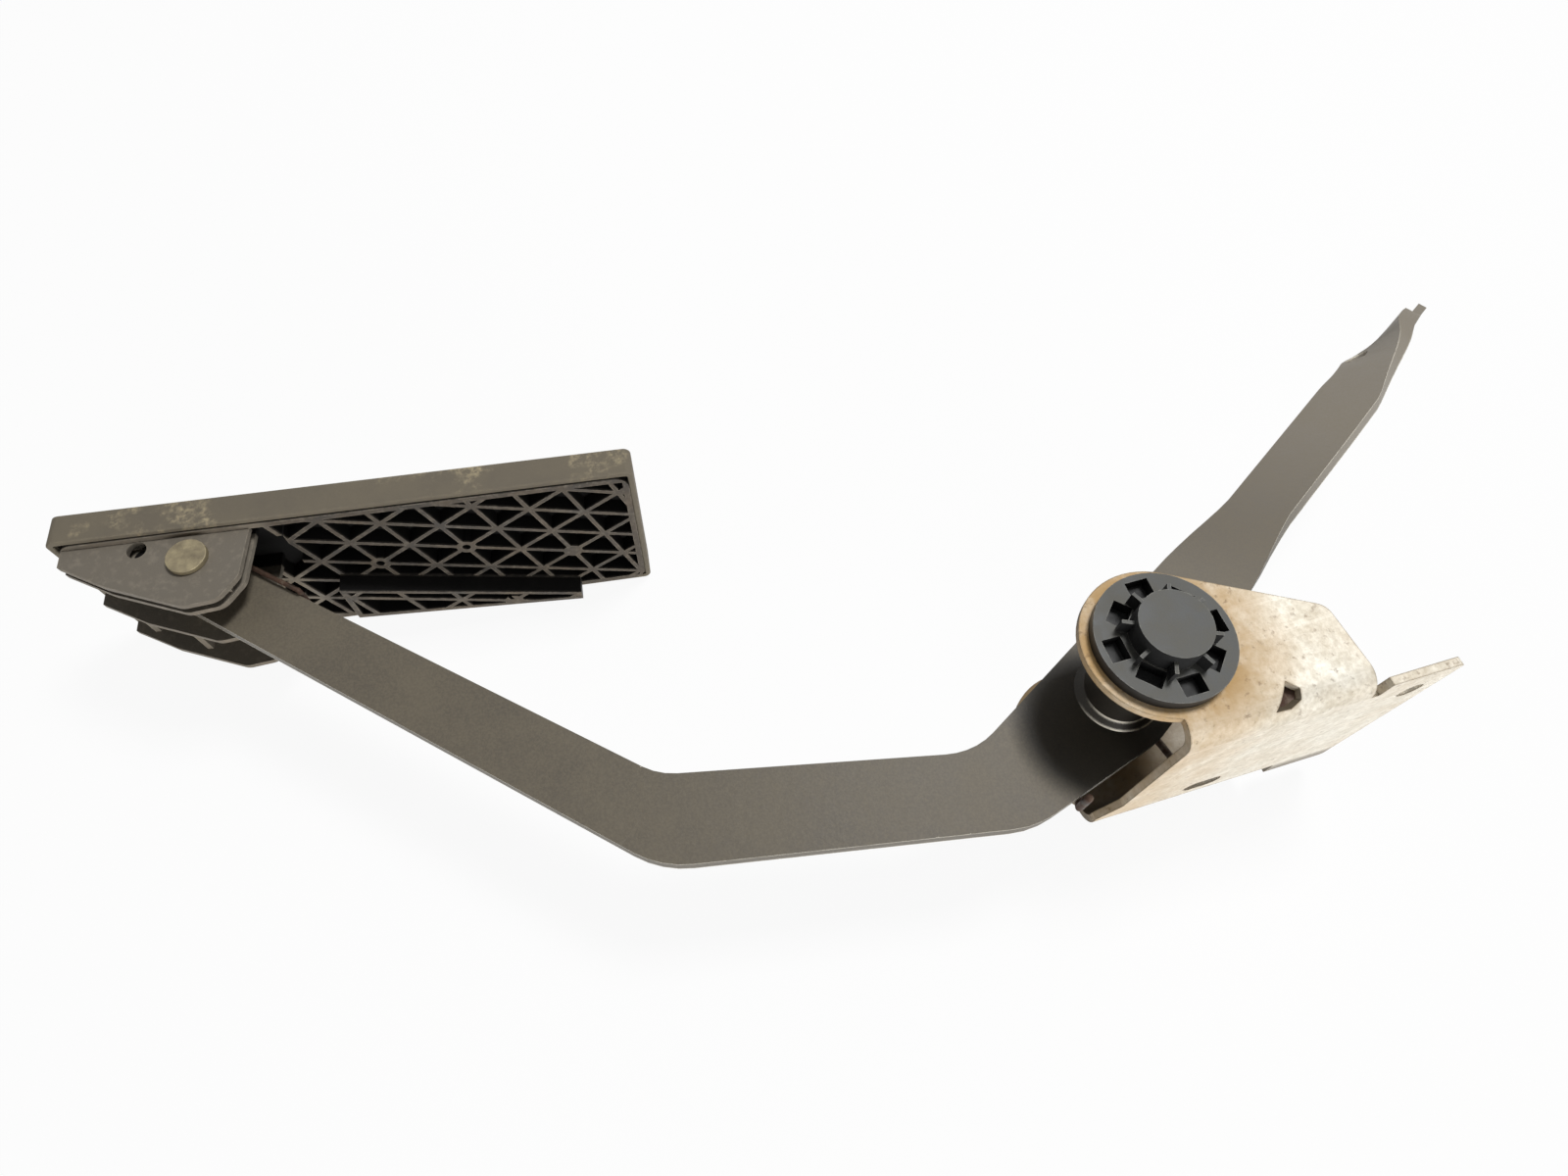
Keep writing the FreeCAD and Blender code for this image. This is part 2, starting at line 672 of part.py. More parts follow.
def build_lever_top():
    """The quarter turn, the flat end with the cable eye and the narrow tongue."""
    width = size("lever_width")
    thick = size("arm_thickness")
    start = size("lever_flat_end")
    end = size("lever_twist_end")
    steps = 6
    wires = []
    for index in range(steps + 1):
        part = index / steps
        wires.append(lever_section(start + (end - start) * part, 90 * part, width, thick))
    shape = Part.makeLoft(wires, True, True)
    shape = shape.fuse(lever_block(end, size("lever_shoulder"), width))
    shape = shape.fuse(lever_block(size("lever_shoulder"), size("tongue_end"), size("tongue_width")))
    lean = math.radians(size("lever_lean"))
    run = FreeCAD.Vector(-math.sin(lean), 0, math.cos(lean))
    side = FreeCAD.Vector(math.cos(lean), 0, math.sin(lean))
    offset = (size("lever_right") - size("lever_left")) / 2
    eye = FreeCAD.Vector(size("pivot_x"), size("arm_y") + thick / 2, size("pivot_z"))
    eye = eye + run * size("lever_eye") + side * (offset - thick)
    return shape.cut(Part.makeCylinder(size("lever_eye_radius"), thick * 2, eye, side)).removeSplitter()


def build_arm():
    flat = build_flat_arm()
    top = doc.addObject("Part::Feature", "lever_top")
    top.Shape = build_lever_top()
    whole = doc.addObject("Part::MultiFuse", "pedal_arm")
    whole.Shapes = [flat, top]
    whole.Refine = True
    whole.Label = "pedal_arm"
    sub_parts.append(whole)
    doc.recompute()
    return whole


def build_weld(name, level):
    """A small fillet weld where the tube passes through the arm."""
    body = new_body(name)
    sketch = new_sketch(body, name + "_sketch", "XY_Plane", "pivot_z")
    add_polygon(sketch, [("weld_in_x", level), ("weld_out_x", level), ("weld_in_x", name + "_y")])
    axis = sketch.addGeometry(Part.LineSegment(FreeCAD.Vector(size("pivot_x"), size(level), 0),
                                               FreeCAD.Vector(size("pivot_x"), size(level) + 5, 0)), True)
    sketch.addConstraint(Sketcher.Constraint("Vertical", axis))
    hold_point(sketch, axis, 1, "pivot_x", level)
    turn = body.newObject("PartDesign::Revolution", name + "_ring")
    turn.Profile = sketch
    turn.ReferenceAxis = (sketch, ["Axis0"])
    turn.Angle = 360
    body.Tip = turn
    doc.recompute()
    return body


# Pad hinge
def build_pin():
    body = new_body("pad_pin")
    disc(body, "pin_head", "pin_head_y", "pin_head_radius", "pin_head_height", True, "pin_x", "pin_z")
    disc(body, "pin_shank", "cheek_near_y", "pin_radius", "pin_length", True, "pin_x", "pin_z")
    return body


def build_pin_bush():
    body = new_body("pin_bush")
    disc(body, "bush_sleeve", "bush_near_y", "bush_radius", "bush_length", True, "pin_x", "pin_z")
    disc(body, "bush_near_flange", "bush_near_y", "bush_flange_radius", "bush_flange", True, "pin_x", "pin_z")
    disc(body, "bush_far_flange", "arm_far_y", "bush_flange_radius", "bush_flange", True, "pin_x", "pin_z")
    bore(body, "bush_hole", "bush_near_y", "bush_bore", "bush_length", True, "pin_x", "pin_z")
    return body


def build_clip():
    body = new_body("pin_clip")
    disc(body, "clip_disc", "clip_y", "clip_radius", "clip_thickness", True, "pin_x", "pin_z")
    bore(body, "clip_hole", "clip_y", "pin_radius", "clip_thickness", True, "pin_x", "pin_z")
    return body


def build_spacer():
    body = new_body("pad_spacer")
    sketch = side_sketch(body, "spacer_sketch", "spacer_near_y")
    add_polygon(sketch, [("tooth_%d_x" % index, "tooth_%d_z" % index) for index in range(2 * teeth)])
    add_pad(body, "spacer_disc", sketch, "spacer_length", True)
    bore(body, "spacer_hole", "spacer_near_y", "pin_radius", "spacer_length", True, "pin_x", "pin_z")
    return body


# Pad
def place_pad(obj):
    """Turns a piece built flat to the slope of the pad and carries it to the pin."""
    bind(obj, "Placement.Base.x", "pad_back_x")
    bind(obj, "Placement.Base.z", "pad_back_z")
    obj.Placement = FreeCAD.Placement(FreeCAD.Vector(size("pad_back_x"), 0, size("pad_back_z")),
                                      FreeCAD.Rotation(FreeCAD.Vector(0, 1, 0), size("pad_slope")))
    bind(obj, "Placement.Rotation.Angle", "pad_slope")


def block(body, name, level, near, far, low, high, length, round_name, corner):
    sketch = face_sketch(body, name + "_sketch", level)
    add_polygon(sketch, [(near, low), (far, low), (far, high), (near, high)])
    add_pad(body, name, sketch, length)
    spots = [(None, size(y), size(z)) for y in (near, far) for z in (low, high)]
    add_fillet(body, round_name, 0, spots, corner)


def cut_well(body):
    """A rounded well that the pad's shell fills face to face."""
    for name, near, far, low, high in (("well_long", "round_near_y", "round_far_y", "shell_low_z", "shell_high_z"),
                                       ("well_wide", "shell_near_y", "shell_far_y", "round_low_z", "round_high_z")):
        sketch = face_sketch(body, name + "_sketch", "cover_back_x")
        add_polygon(sketch, [(near, low), (far, low), (far, high), (near, high)])
        add_pocket(body, name, sketch, "cover_well")
    for side in ("near", "far"):
        for end in ("low", "high"):
            name = "well_%s_%s" % (side, end)
            sketch = face_sketch(body, name + "_sketch", "cover_back_x")
            add_circle(sketch, "round_%s_y" % side, "round_%s_z" % end, "shell_corner")
            add_pocket(body, name, sketch, "cover_well")


def build_cover():
    body = new_body("pad_cover")
    block(body, "cover_block", "front_x", "pad_near_y", "pad_far_y", "pad_low_z", "pad_length",
          "cover_depth", "cover_corners", "cover_corner")
    cut_well(body)
    groove = face_sketch(body, "groove_sketch", "front_x")
    add_polygon(groove, [("groove_near_y", "groove_margin"), ("groove_far_y", "groove_margin"),
                         ("groove_far_y", "groove_end_z"), ("groove_near_y", "groove_end_z")])
    cut = add_pocket(body, "groove", groove, "groove_depth", True)
    pattern = body.newObject("PartDesign::LinearPattern", "grooves")
    pattern.Originals = [cut]
    pattern.Direction = (groove, ["V_Axis"])
    bind(pattern, "Length", "groove_run")
    bind(pattern, "Occurrences", "groove_count")
    body.Tip = pattern
    doc.recompute()
    place_pad(body)
    return body


def strip_face(start, end, width):
    """A flat strip between two points of the pad's plane."""
    run = end - start
    side = FreeCAD.Vector(1, 0, 0).cross(run)
    side.normalize()
    side = side * (width / 2)
    return Part.Face(Part.makePolygon([start - side, end - side, end + side, start + side, start - side]))


def rib_node(i, j):
    """A crossing of the ribs, counted along a row and across the rows."""
    turn = math.radians(size("rib_angle"))
    along = (i + 0.5 * j) * size("rib_pitch")
    across = j * size("rib_row")
    y = size("rib_node_across") + along * math.sin(turn) + across * math.cos(turn)
    z = size("rib_node_along") + along * math.cos(turn) - across * math.sin(turn)
    return FreeCAD.Vector(0, y, z)


def rib_net():
    """The three families of ribs as one flat shape."""
    width = size("rib_width")
    reach = 14
    strips = []
    for k in range(-reach, reach + 1):
        strips.append(strip_face(rib_node(-2 * reach, k), rib_node(2 * reach, k), width))
        strips.append(strip_face(rib_node(k, -2 * reach), rib_node(k, 2 * reach), width))
        strips.append(strip_face(rib_node(k + 2 * reach, -2 * reach), rib_node(k - 2 * reach, 2 * reach), width))
    return strips


def face_outline(points):
    wire = Part.makePolygon([FreeCAD.Vector(0, y, z) for y, z in points + points[:1]])
    return Part.Face(wire)


def rail_points(inset=0.0):
    start = size("rail_start") + inset
    end = size("rail_end") - inset
    return [(size("rail_near_start_y") + inset, start), (size("rail_near_end_y") + inset * 0.6, end),
            (size("rail_far_end_y") - inset, end), (size("rail_far_start_y") - inset, start)]


def build_ribs():
    """Ribs inside the pad's rim, and the raised rail with ribs of its own."""
    window = face_outline([(size("well_near_y") - 0.5, size("well_low_z") - 0.5),
                           (size("well_far_y") + 0.5, size("well_low_z") - 0.5),
                           (size("well_far_y") + 0.5, size("well_high_z") + 0.5),
                           (size("well_near_y") - 0.5, size("well_high_z") + 0.5)])
    strips = rib_net()
    kept = []
    for strip in strips:
        piece = strip.common(window)
        if piece.Area > 1:
            kept.append(piece)
    hubs = []
    for i, j in ((3, 0), (1, 1), (5, 0), (3, 2)):
        spot = rib_node(i, j)
        circle = Part.Wire(Part.makeCircle(size("rib_hub_radius"), spot, FreeCAD.Vector(1, 0, 0)))
        hubs.append(Part.Face(circle))
    slot = face_outline([(size("cheek_near_inside_y"), size("slot_start")), (size("cheek_far_y"), size("slot_start")),
                         (size("cheek_far_y"), size("slot_end")), (size("cheek_near_inside_y"), size("slot_end"))])
    net = kept[0].multiFuse(kept[1:] + hubs).cut(slot).removeSplitter()
    low = size("pocket_x") - 0.4
    ribs = net.extrude(FreeCAD.Vector(-low, 0, 0))
    ribs.translate(FreeCAD.Vector(low, 0, 0))
    rail = face_outline(rail_points())
    wall = rail.cut(face_outline(rail_points(size("rail_wall"))))
    raised = wall.fuse(net.common(rail)).removeSplitter()
    block_up = raised.extrude(FreeCAD.Vector(size("rail_height") + size("pocket_depth"), 0, 0))
    block_up.translate(FreeCAD.Vector(size("pocket_x"), 0, 0))
    shape = ribs.fuse(block_up)
    for i, j in ((3, 0), (1, 1)):
        spot = rib_node(i, j) + FreeCAD.Vector(size("pocket_x") - 0.4, 0, 0)
        shape = shape.cut(Part.makeCylinder(size("rib_hub_hole"), 40, spot, FreeCAD.Vector(1, 0, 0)))
    return shape.removeSplitter()


def build_shell():
    body = doc.addObject("PartDesign::Body", "pad_shell")
    block(body, "shell_block", "plate_x", "shell_near_y", "shell_far_y", "shell_low_z", "shell_high_z",
          "block_depth", "shell_corners", "shell_corner")
    sketch = face_sketch(body, "shell_well_sketch", "pad_low_z")
    add_polygon(sketch, [("well_near_y", "well_low_z"), ("well_far_y", "well_low_z"),
                         ("well_far_y", "well_high_z"), ("well_near_y", "well_high_z")])
    add_pocket(body, "shell_well", sketch, "pocket_depth")
    return body


def build_cheek_plate(name, level, thickness, hole):
    body = doc.addObject("PartDesign::Body", name)
    sketch = side_sketch(body, name + "_sketch", level)
    corners = [("pocket_x", "cheek_toe_z"), ("cheek_toe_x", "cheek_toe_z"), ("cheek_shin_x", "cheek_shin_z"),
               ("cheek_low_x", "cheek_low_z"), ("cheek_heel_x", "cheek_heel_z"),
               ("cheek_back_x", "cheek_back_z"), ("pad_low_z", "cheek_end_z"), ("pocket_x", "cheek_end_z")]
    add_polygon(sketch, corners)
    add_pad(body, name + "_plate", sketch, thickness, True)
    add_fillet(body, name + "_rounds", 1, [(size(a), None, size(b)) for a, b in corners[3:6]], "cheek_round")
    bore(body, name + "_pin", level, "pin_seat", thickness, True, "pin_height", "pin_along")
    if hole:
        bore(body, name + "_hole", level, "cheek_hole_radius", thickness, True, "cheek_hole_x", "cheek_hole_z")
    return body


def build_cheek_webs():
    """Short webs that tie the two plates of each cheek together."""
    wall = size("cheek_wall")
    thick = size("cheek_web")
    shape = None
    spans = ((size("cheek_near_y") + wall / 2, size("cheek_near_inside_y") - wall / 2),
             (size("cheek_far_y") + wall / 2, size("cheek_far_outside_y") - wall / 2))
    low = size("pocket_x") - 0.4
    tops = ((10.0, 7.5), (28.0, 17.0), (52.0, 20.0))
    for start, end in spans:
        for along, top in tops:
            web = Part.makeBox(top - low, end - start, thick, FreeCAD.Vector(low, start, along))
            shape = web if shape is None else shape.fuse(web)
        ring = Part.makeCylinder(size("pin_seat") + 2.2, end - start,
                                 FreeCAD.Vector(size("pin_height"), start, size("pin_along")), FreeCAD.Vector(0, 1, 0))
        core = Part.makeCylinder(size("pin_seat"), end - start + 10,
                                 FreeCAD.Vector(size("pin_height"), start - 5, size("pin_along")), FreeCAD.Vector(0, 1, 0))
        shape = shape.fuse(ring).cut(core)
    return shape


def build_pad():
    pieces = [build_shell()]
    pieces.append(build_cheek_plate("near_outer", "cheek_near_y", "cheek_wall", True))
    pieces.append(build_cheek_plate("near_inner", "cheek_near_second_y", "cheek_wall", False))
    pieces.append(build_cheek_plate("far_inner", "cheek_far_y", "cheek_wall", False))
    pieces.append(build_cheek_plate("far_outer", "cheek_far_second_y", "cheek_wall", True))
    ribs = doc.addObject("Part::Feature", "pad_ribs")
    ribs.Shape = build_ribs()
    webs = doc.addObject("Part::Feature", "cheek_webs")
    webs.Shape = build_cheek_webs()
    whole = doc.addObject("Part::MultiFuse", "pad_body")
    whole.Shapes = pieces + [ribs, webs]
    whole.Refine = True
    whole.Label = "pad_body"
    doc.recompute()
    place_pad(whole)
    sub_parts.append(whole)
    return whole


# Springs
def wire_rod(start, end, radius):
    step = end - start
    rod = Part.makeCylinder(radius, step.Length, start, step)
    return rod.fuse(Part.makeSphere(radius, end))


def coil(radius, wire, pitch, turns, start_angle):
    """A coil about Y that starts at Y zero and at the given angle in X and Z."""
    helix = Part.makeHelix(pitch, pitch * turns, radius)
    section = Part.Wire(Part.makeCircle(wire, FreeCAD.Vector(radius, 0, 0), FreeCAD.Vector(0, 1, 0)))
    solid = Part.Wire(helix).makePipeShell([section], True, True)
    solid.rotate(FreeCAD.Vector(0, 0, 0), FreeCAD.Vector(1, 0, 0), -90)
    solid.rotate(FreeCAD.Vector(0, 0, 0), FreeCAD.Vector(0, 1, 0), -start_angle)
    return solid


def ring_point(radius, angle, y):
    turn = math.radians(angle)
    return FreeCAD.Vector(radius * math.cos(turn), y, radius * math.sin(turn))


def tangent_turn(radius, x, z, side):
    """The angle at which a line from outside point x, z touches the coil."""
    return math.degrees(math.atan2(z, x) + side * math.acos(radius / math.hypot(x, z)))


def build_torsion_spring(name, middle, wire, radius, pitch, turns, start, end):
    """A coil with two straight legs. start and end are spots relative to the coil's middle."""
    first = tangent_turn(radius, start.x, start.z, -1)
    last = tangent_turn(radius, end.x, end.z, 1)
    count = math.floor(turns) + ((first - last) % 360) / 360
    shape = coil(radius, wire, pitch, count, first)
    rise = pitch * count
    shape = shape.fuse(wire_rod(ring_point(radius, first, 0), FreeCAD.Vector(start.x, 0, start.z), wire))
    shape = shape.fuse(wire_rod(ring_point(radius, last, rise), FreeCAD.Vector(end.x, rise, end.z), wire))
    hook_start = FreeCAD.Vector(start.x, 0, start.z)
    hook_end = FreeCAD.Vector(end.x, rise, end.z)
    if abs(start.y) > 0:
        shape = shape.fuse(wire_rod(hook_start, hook_start + FreeCAD.Vector(0, start.y, 0), wire))
    if abs(end.y) > 0:
        shape = shape.fuse(wire_rod(hook_end, hook_end + FreeCAD.Vector(0, end.y, 0), wire))
    spring = doc.addObject("Part::Feature", name)
    spring.Label = name
    spring.Shape = shape
    spring.Placement = FreeCAD.Placement(middle, FreeCAD.Rotation())
    sub_parts.append(spring)
    return spring


def build_springs():
    wire = size("return_wire")
    level = size("arm_far_y") + size("return_gap")
    middle = FreeCAD.Vector(size("pivot_x"), level, size("pivot_z"))
    hook = -(size("return_gap") + size("arm_thickness") + wire)
    start = FreeCAD.Vector(size("return_hook_x"), hook, size("return_hook_z"))
    end = FreeCAD.Vector(-size("pivot_x") - size("sheet_thickness") - wire - 0.05, 0, size("return_foot_z"))
    build_torsion_spring("return_spring", middle, wire, size("return_coil"), size("return_pitch"),
                         size("return_turns"), start, end)
    wire = size("pad_wire")
    level = size("cheek_near_inside_y") + wire + 0.3
    middle = FreeCAD.Vector(size("pin_x"), level, size("pin_z"))
    slope = math.radians(size("pad_slope"))
    down = size("pocket_x") + wire + 0.05 - size("pin_height")
    start = FreeCAD.Vector(down * math.cos(slope) + 14 * math.sin(slope), 0,
                           14 * math.cos(slope) - down * math.sin(slope))
    run = FreeCAD.Vector(size("arm_end_in_x") - size("knee_in_x"), 0, size("arm_end_in_z") - size("knee_in_z"))
    run.normalize()
    edge = FreeCAD.Vector(size("at_arm_end_in_x") - size("pin_x"), 0, size("at_arm_end_in_z") - size("pin_z"))
    out = FreeCAD.Vector(run.z, 0, -run.x)
    spot = edge - run * size("pad_leg_length") + out * (wire + 0.1)
    end = FreeCAD.Vector(spot.x, size("arm_thickness") + 3.5, spot.z)
    build_torsion_spring("pad_spring", middle, wire, size("pad_coil"), size("pad_pitch"),
                         size("pad_turns"), start, end)


build_bracket()
build_near_bush()
build_far_bush()
build_tube()
build_arm()
build_weld("near_weld", "arm_y")
build_weld("far_weld", "arm_far_y")
build_pin()
build_pin_bush()
build_clip()
build_spacer()
build_pad()
build_cover()
build_springs()
doc.recompute()

for item in doc.Objects:
    if "Invalid" in item.State or "Error" in item.State:
        raise RuntimeError("%s is %s" % (item.Name, item.State))

for part in sub_parts:
    shape = part.Shape
    if shape.isNull() or not shape.isValid():
        raise RuntimeError(part.Label + " has no valid shape")
    print("%-18s solids %d volume %.1f" % (part.Label, len(shape.Solids), shape.Volume))
    shape.exportStep("parts/%s.step" % part.Label)
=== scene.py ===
import json
import math

import bmesh
import bpy
from mathutils import Matrix, Vector
from mathutils.geometry import delaunay_2d_cdt


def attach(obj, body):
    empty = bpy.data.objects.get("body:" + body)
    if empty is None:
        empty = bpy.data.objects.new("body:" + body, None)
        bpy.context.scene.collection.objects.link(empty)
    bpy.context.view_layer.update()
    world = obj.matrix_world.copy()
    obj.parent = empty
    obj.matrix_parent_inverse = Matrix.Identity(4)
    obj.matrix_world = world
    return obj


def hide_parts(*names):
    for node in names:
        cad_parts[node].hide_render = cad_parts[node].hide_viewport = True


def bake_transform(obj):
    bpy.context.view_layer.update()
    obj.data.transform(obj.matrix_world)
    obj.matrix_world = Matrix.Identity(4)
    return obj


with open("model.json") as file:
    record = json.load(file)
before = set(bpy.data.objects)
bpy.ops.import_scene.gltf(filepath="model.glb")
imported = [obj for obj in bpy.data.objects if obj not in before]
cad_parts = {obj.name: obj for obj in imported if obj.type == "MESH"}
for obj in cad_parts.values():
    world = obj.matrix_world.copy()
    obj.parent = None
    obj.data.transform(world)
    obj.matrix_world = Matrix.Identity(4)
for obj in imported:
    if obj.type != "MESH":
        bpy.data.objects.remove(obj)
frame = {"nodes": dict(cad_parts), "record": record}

scene = bpy.context.scene
nodes = frame["nodes"]
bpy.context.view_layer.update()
print("stage: frame loaded")


# Colours are given as a screen's red, green and blue from 0 to 255

def tint(red, green, blue):
    steps = []
    for value in (red, green, blue):
        share = value / 255
        steps.append(share / 12.92 if share < 0.04045 else ((share + 0.055) / 1.055) ** 2.4)
    return (*steps, 1.0)


# Node helpers, where a value is a number, a colour, a vector or the socket of another node

def feed(tree, socket, value):
    if isinstance(value, (int, float, tuple)):
        socket.default_value = value
    else:
        tree.links.new(value, socket)


def addNode(tree, kind, place, **inputs):
    node = tree.nodes.new(kind)
    node.location = place
    for name, value in inputs.items():
        feed(tree, node.inputs[name], value)
    return node


def addMath(tree, place, operation, first, second):
    node = addNode(tree, "ShaderNodeMath", place)
    node.operation = operation
    feed(tree, node.inputs[0], first)
    feed(tree, node.inputs[1], second)
    return node.outputs["Value"]


def addVector(tree, place, operation, first, second=(0.0, 0.0, 0.0)):
    node = addNode(tree, "ShaderNodeVectorMath", place)
    node.operation = operation
    feed(tree, node.inputs[0], first)
    feed(tree, node.inputs[1], second)
    return node.outputs


def addMix(tree, place, mask, first, second, kind="FLOAT"):
    node = addNode(tree, "ShaderNodeMix", place)
    node.data_type = kind
    below, above, result = (6, 7, 2) if kind == "RGBA" else (2, 3, 0)
    for index, value in ((0, mask), (below, first), (above, second)):
        feed(tree, node.inputs[index], value)
    return node.outputs[result]


def addRange(tree, place, value, low, high, toLow=0.0, toHigh=1.0):
    given = {"Value": value, "From Min": low, "From Max": high, "To Min": toLow, "To Max": toHigh}
    return addNode(tree, "ShaderNodeMapRange", place, **given).outputs["Result"]


def addNoise(tree, place, spot, scale, seed=None, **inputs):
    node = addNode(tree, "ShaderNodeTexNoise", place)
    if seed is not None:
        node.noise_dimensions = "4D"
        feed(tree, node.inputs["W"], seed)
    for name, value in {"Vector": spot, "Scale": scale, **inputs}.items():
        feed(tree, node.inputs[name], value)
    return node.outputs["Fac"]


def addSpot(tree):
    return addNode(tree, "ShaderNodeTexCoord", (-1100, 300)).outputs["Object"]


def addNormal(tree):
    return addNode(tree, "ShaderNodeNewGeometry", (-1100, 0)).outputs["Normal"]


def newGroup(name, result, inputs):
    tree = bpy.data.node_groups.new(name, "ShaderNodeTree")
    for label, value in inputs.items():
        kind = "NodeSocketVector" if isinstance(value, tuple) else "NodeSocketFloat"
        socket = tree.interface.new_socket(label, in_out="INPUT", socket_type=kind)
        socket.default_value = value
    tree.interface.new_socket(result, in_out="OUTPUT", socket_type="NodeSocketFloat")
    entry = addNode(tree, "NodeGroupInput", (-900, 0))
    end = addNode(tree, "NodeGroupOutput", (700, 0))
    return tree, entry.outputs, end.inputs[result]


def useGroup(tree, group, place, **inputs):
    node = tree.nodes.new("ShaderNodeGroup")
    node.node_tree = group
    node.location = place
    for name, value in inputs.items():
        feed(tree, node.inputs[name], value)
    return node.outputs[0]


# Shared surface effects. A range holds the noise levels at which nothing and everything is covered

effectValues = {
    "patchNoise": {"Detail": 6.0, "Roughness": 0.62}, "patchRange": (0.72, 0.28),
    "grainRoughness": 0.55,
    "wearNoise": {"Detail": 5.0, "Roughness": 0.7}, "wearRange": (0.75, 0.25), "wearSoft": 0.12,
    "wearCosines": (0.985, 0.86), "wearSamples": 6,
    "streakNoise": {"Detail": 5.0, "Roughness": 0.7}, "streakRange": (0.72, 0.3), "streakSoft": 0.07,
    "streakStretch": (1.0, 1.0, 0.05),
}


# Blotches with soft edges

def buildPatches():
    v = effectValues
    tree, entry, mask = newGroup("patches", "mask", {"scale": 60.0, "cover": 0.4, "soft": 0.08, "seed": 0.0})
    blotch = addNoise(tree, (-600, 200), addSpot(tree), entry["scale"], entry["seed"], **v["patchNoise"])
    centre = addRange(tree, (-400, -100), entry["cover"], 0.0, 1.0, *v["patchRange"])
    low = addMath(tree, (-200, -50), "SUBTRACT", centre, entry["soft"])
    high = addMath(tree, (-200, -200), "ADD", centre, entry["soft"])
    tree.links.new(addRange(tree, (100, 0), blotch, low, high), mask)
    return tree


# Fine height for the bump

def buildGrain():
    tree, entry, height = newGroup("grain", "height", {"scale": 900.0, "detail": 3.0})
    given = {"Detail": entry["detail"], "Roughness": effectValues["grainRoughness"]}
    tree.links.new(addNoise(tree, (-500, 100), addSpot(tree), entry["scale"], **given), height)
    return tree


# Broken wear along the edges

def buildEdgeWear():
    v = effectValues
    tree, entry, mask = newGroup("edgeWear", "mask", {"radius": 0.0008, "scale": 220.0, "amount": 0.6})
    rounded = addNode(tree, "ShaderNodeBevel", (-600, 200), Radius=entry["radius"])
    rounded.samples = v["wearSamples"]
    turn = addVector(tree, (-400, 100), "DOT_PRODUCT", rounded.outputs["Normal"], addNormal(tree))
    edge = addRange(tree, (-200, 100), turn["Value"], *v["wearCosines"])
    broken = addNoise(tree, (-500, -200), addSpot(tree), entry["scale"], **v["wearNoise"])
    start = addRange(tree, (-300, -350), entry["amount"], 0.0, 1.0, *v["wearRange"])
    finish = addMath(tree, (-100, -400), "ADD", start, v["wearSoft"])
    gaps = addRange(tree, (100, -200), broken, start, finish)
    tree.links.new(addMath(tree, (300, 0), "MULTIPLY", edge, gaps), mask)
    return tree


# Thin lines, drawn out along Z after a turn

def buildStreaks():
    v = effectValues
    inputs = {"scale": 90.0, "turn": (0.0, 0.0, 0.0), "cover": 0.2, "seed": 0.0}
    tree, entry, mask = newGroup("streaks", "mask", inputs)
    spin = addNode(tree, "ShaderNodeVectorRotate", (-800, 100), Vector=addSpot(tree))
    spin.rotation_type = "EULER_XYZ"
    tree.links.new(entry["turn"], spin.inputs["Rotation"])
    drawn = addNode(tree, "ShaderNodeMapping", (-700, 200), Vector=spin.outputs["Vector"])
    drawn.inputs["Scale"].default_value = v["streakStretch"]
    spot = drawn.outputs["Vector"]
    line = addNoise(tree, (-500, 200), spot, entry["scale"], entry["seed"], **v["streakNoise"])
    low = addRange(tree, (-300, -100), entry["cover"], 0.0, 1.0, *v["streakRange"])
    high = addMath(tree, (-100, -100), "ADD", low, v["streakSoft"])
    tree.links.new(addRange(tree, (200, 100), line, low, high), mask)
    return tree


# Everything near an axis along Y

def buildNearAxis():
    tree, entry, mask = newGroup("nearAxis", "mask", {"centre": (0.0, 0.0, 0.0), "inner": 0.02, "outer": 0.03})
    offset = addVector(tree, (-600, 200), "SUBTRACT", addSpot(tree), entry["centre"])
    flat = addVector(tree, (-400, 200), "MULTIPLY", offset["Vector"], (1.0, 0.0, 1.0))
    length = addVector(tree, (-200, 200), "LENGTH", flat["Vector"])
    tree.links.new(addRange(tree, (100, 100), length["Value"], entry["outer"], entry["inner"]), mask)
    return tree


# Faces that look one way

def buildFacing():
    tree, entry, mask = newGroup("facing", "mask", {"way": (0.0, -1.0, 0.0), "low": 0.1, "high": 0.9})
    compare = addVector(tree, (-400, 100), "DOT_PRODUCT", addNormal(tree), entry["way"])
    tree.links.new(addRange(tree, (-100, 100), compare["Value"], entry["low"], entry["high"]), mask)
    return tree


# Everything past a plane, softly from low to high

def buildLevel():
    tree, entry, mask = newGroup("level", "mask", {"way": (1.0, 0.0, 0.0), "low": 0.0, "high": 0.001})
    reach = addVector(tree, (-600, 200), "DOT_PRODUCT", addSpot(tree), entry["way"])
    tree.links.new(addRange(tree, (-200, 100), reach["Value"], entry["low"], entry["high"]), mask)
    return tree


patches = buildPatches()
grain = buildGrain()
edgeWear = buildEdgeWear()
streaks = buildStreaks()
nearAxis = buildNearAxis()
facing = buildFacing()
level = buildLevel()
print("stage: surface effects built")


# Materials. Masks are effects or two earlier masks joined, layers are a mask, its strength and a colour,
# and spans are a mask with the shader's value outside and inside it

def placeMasks(tree, table):
    masks = {}
    for row, (name, (kind, *given)) in enumerate(table.items()):
        place = (-1100, 800 - 180 * row)
        if isinstance(kind, str):
            masks[name] = addMath(tree, place, kind, masks[given[0]], masks[given[1]])
        else:
            masks[name] = useGroup(tree, kind, place, **given[0])
    return masks


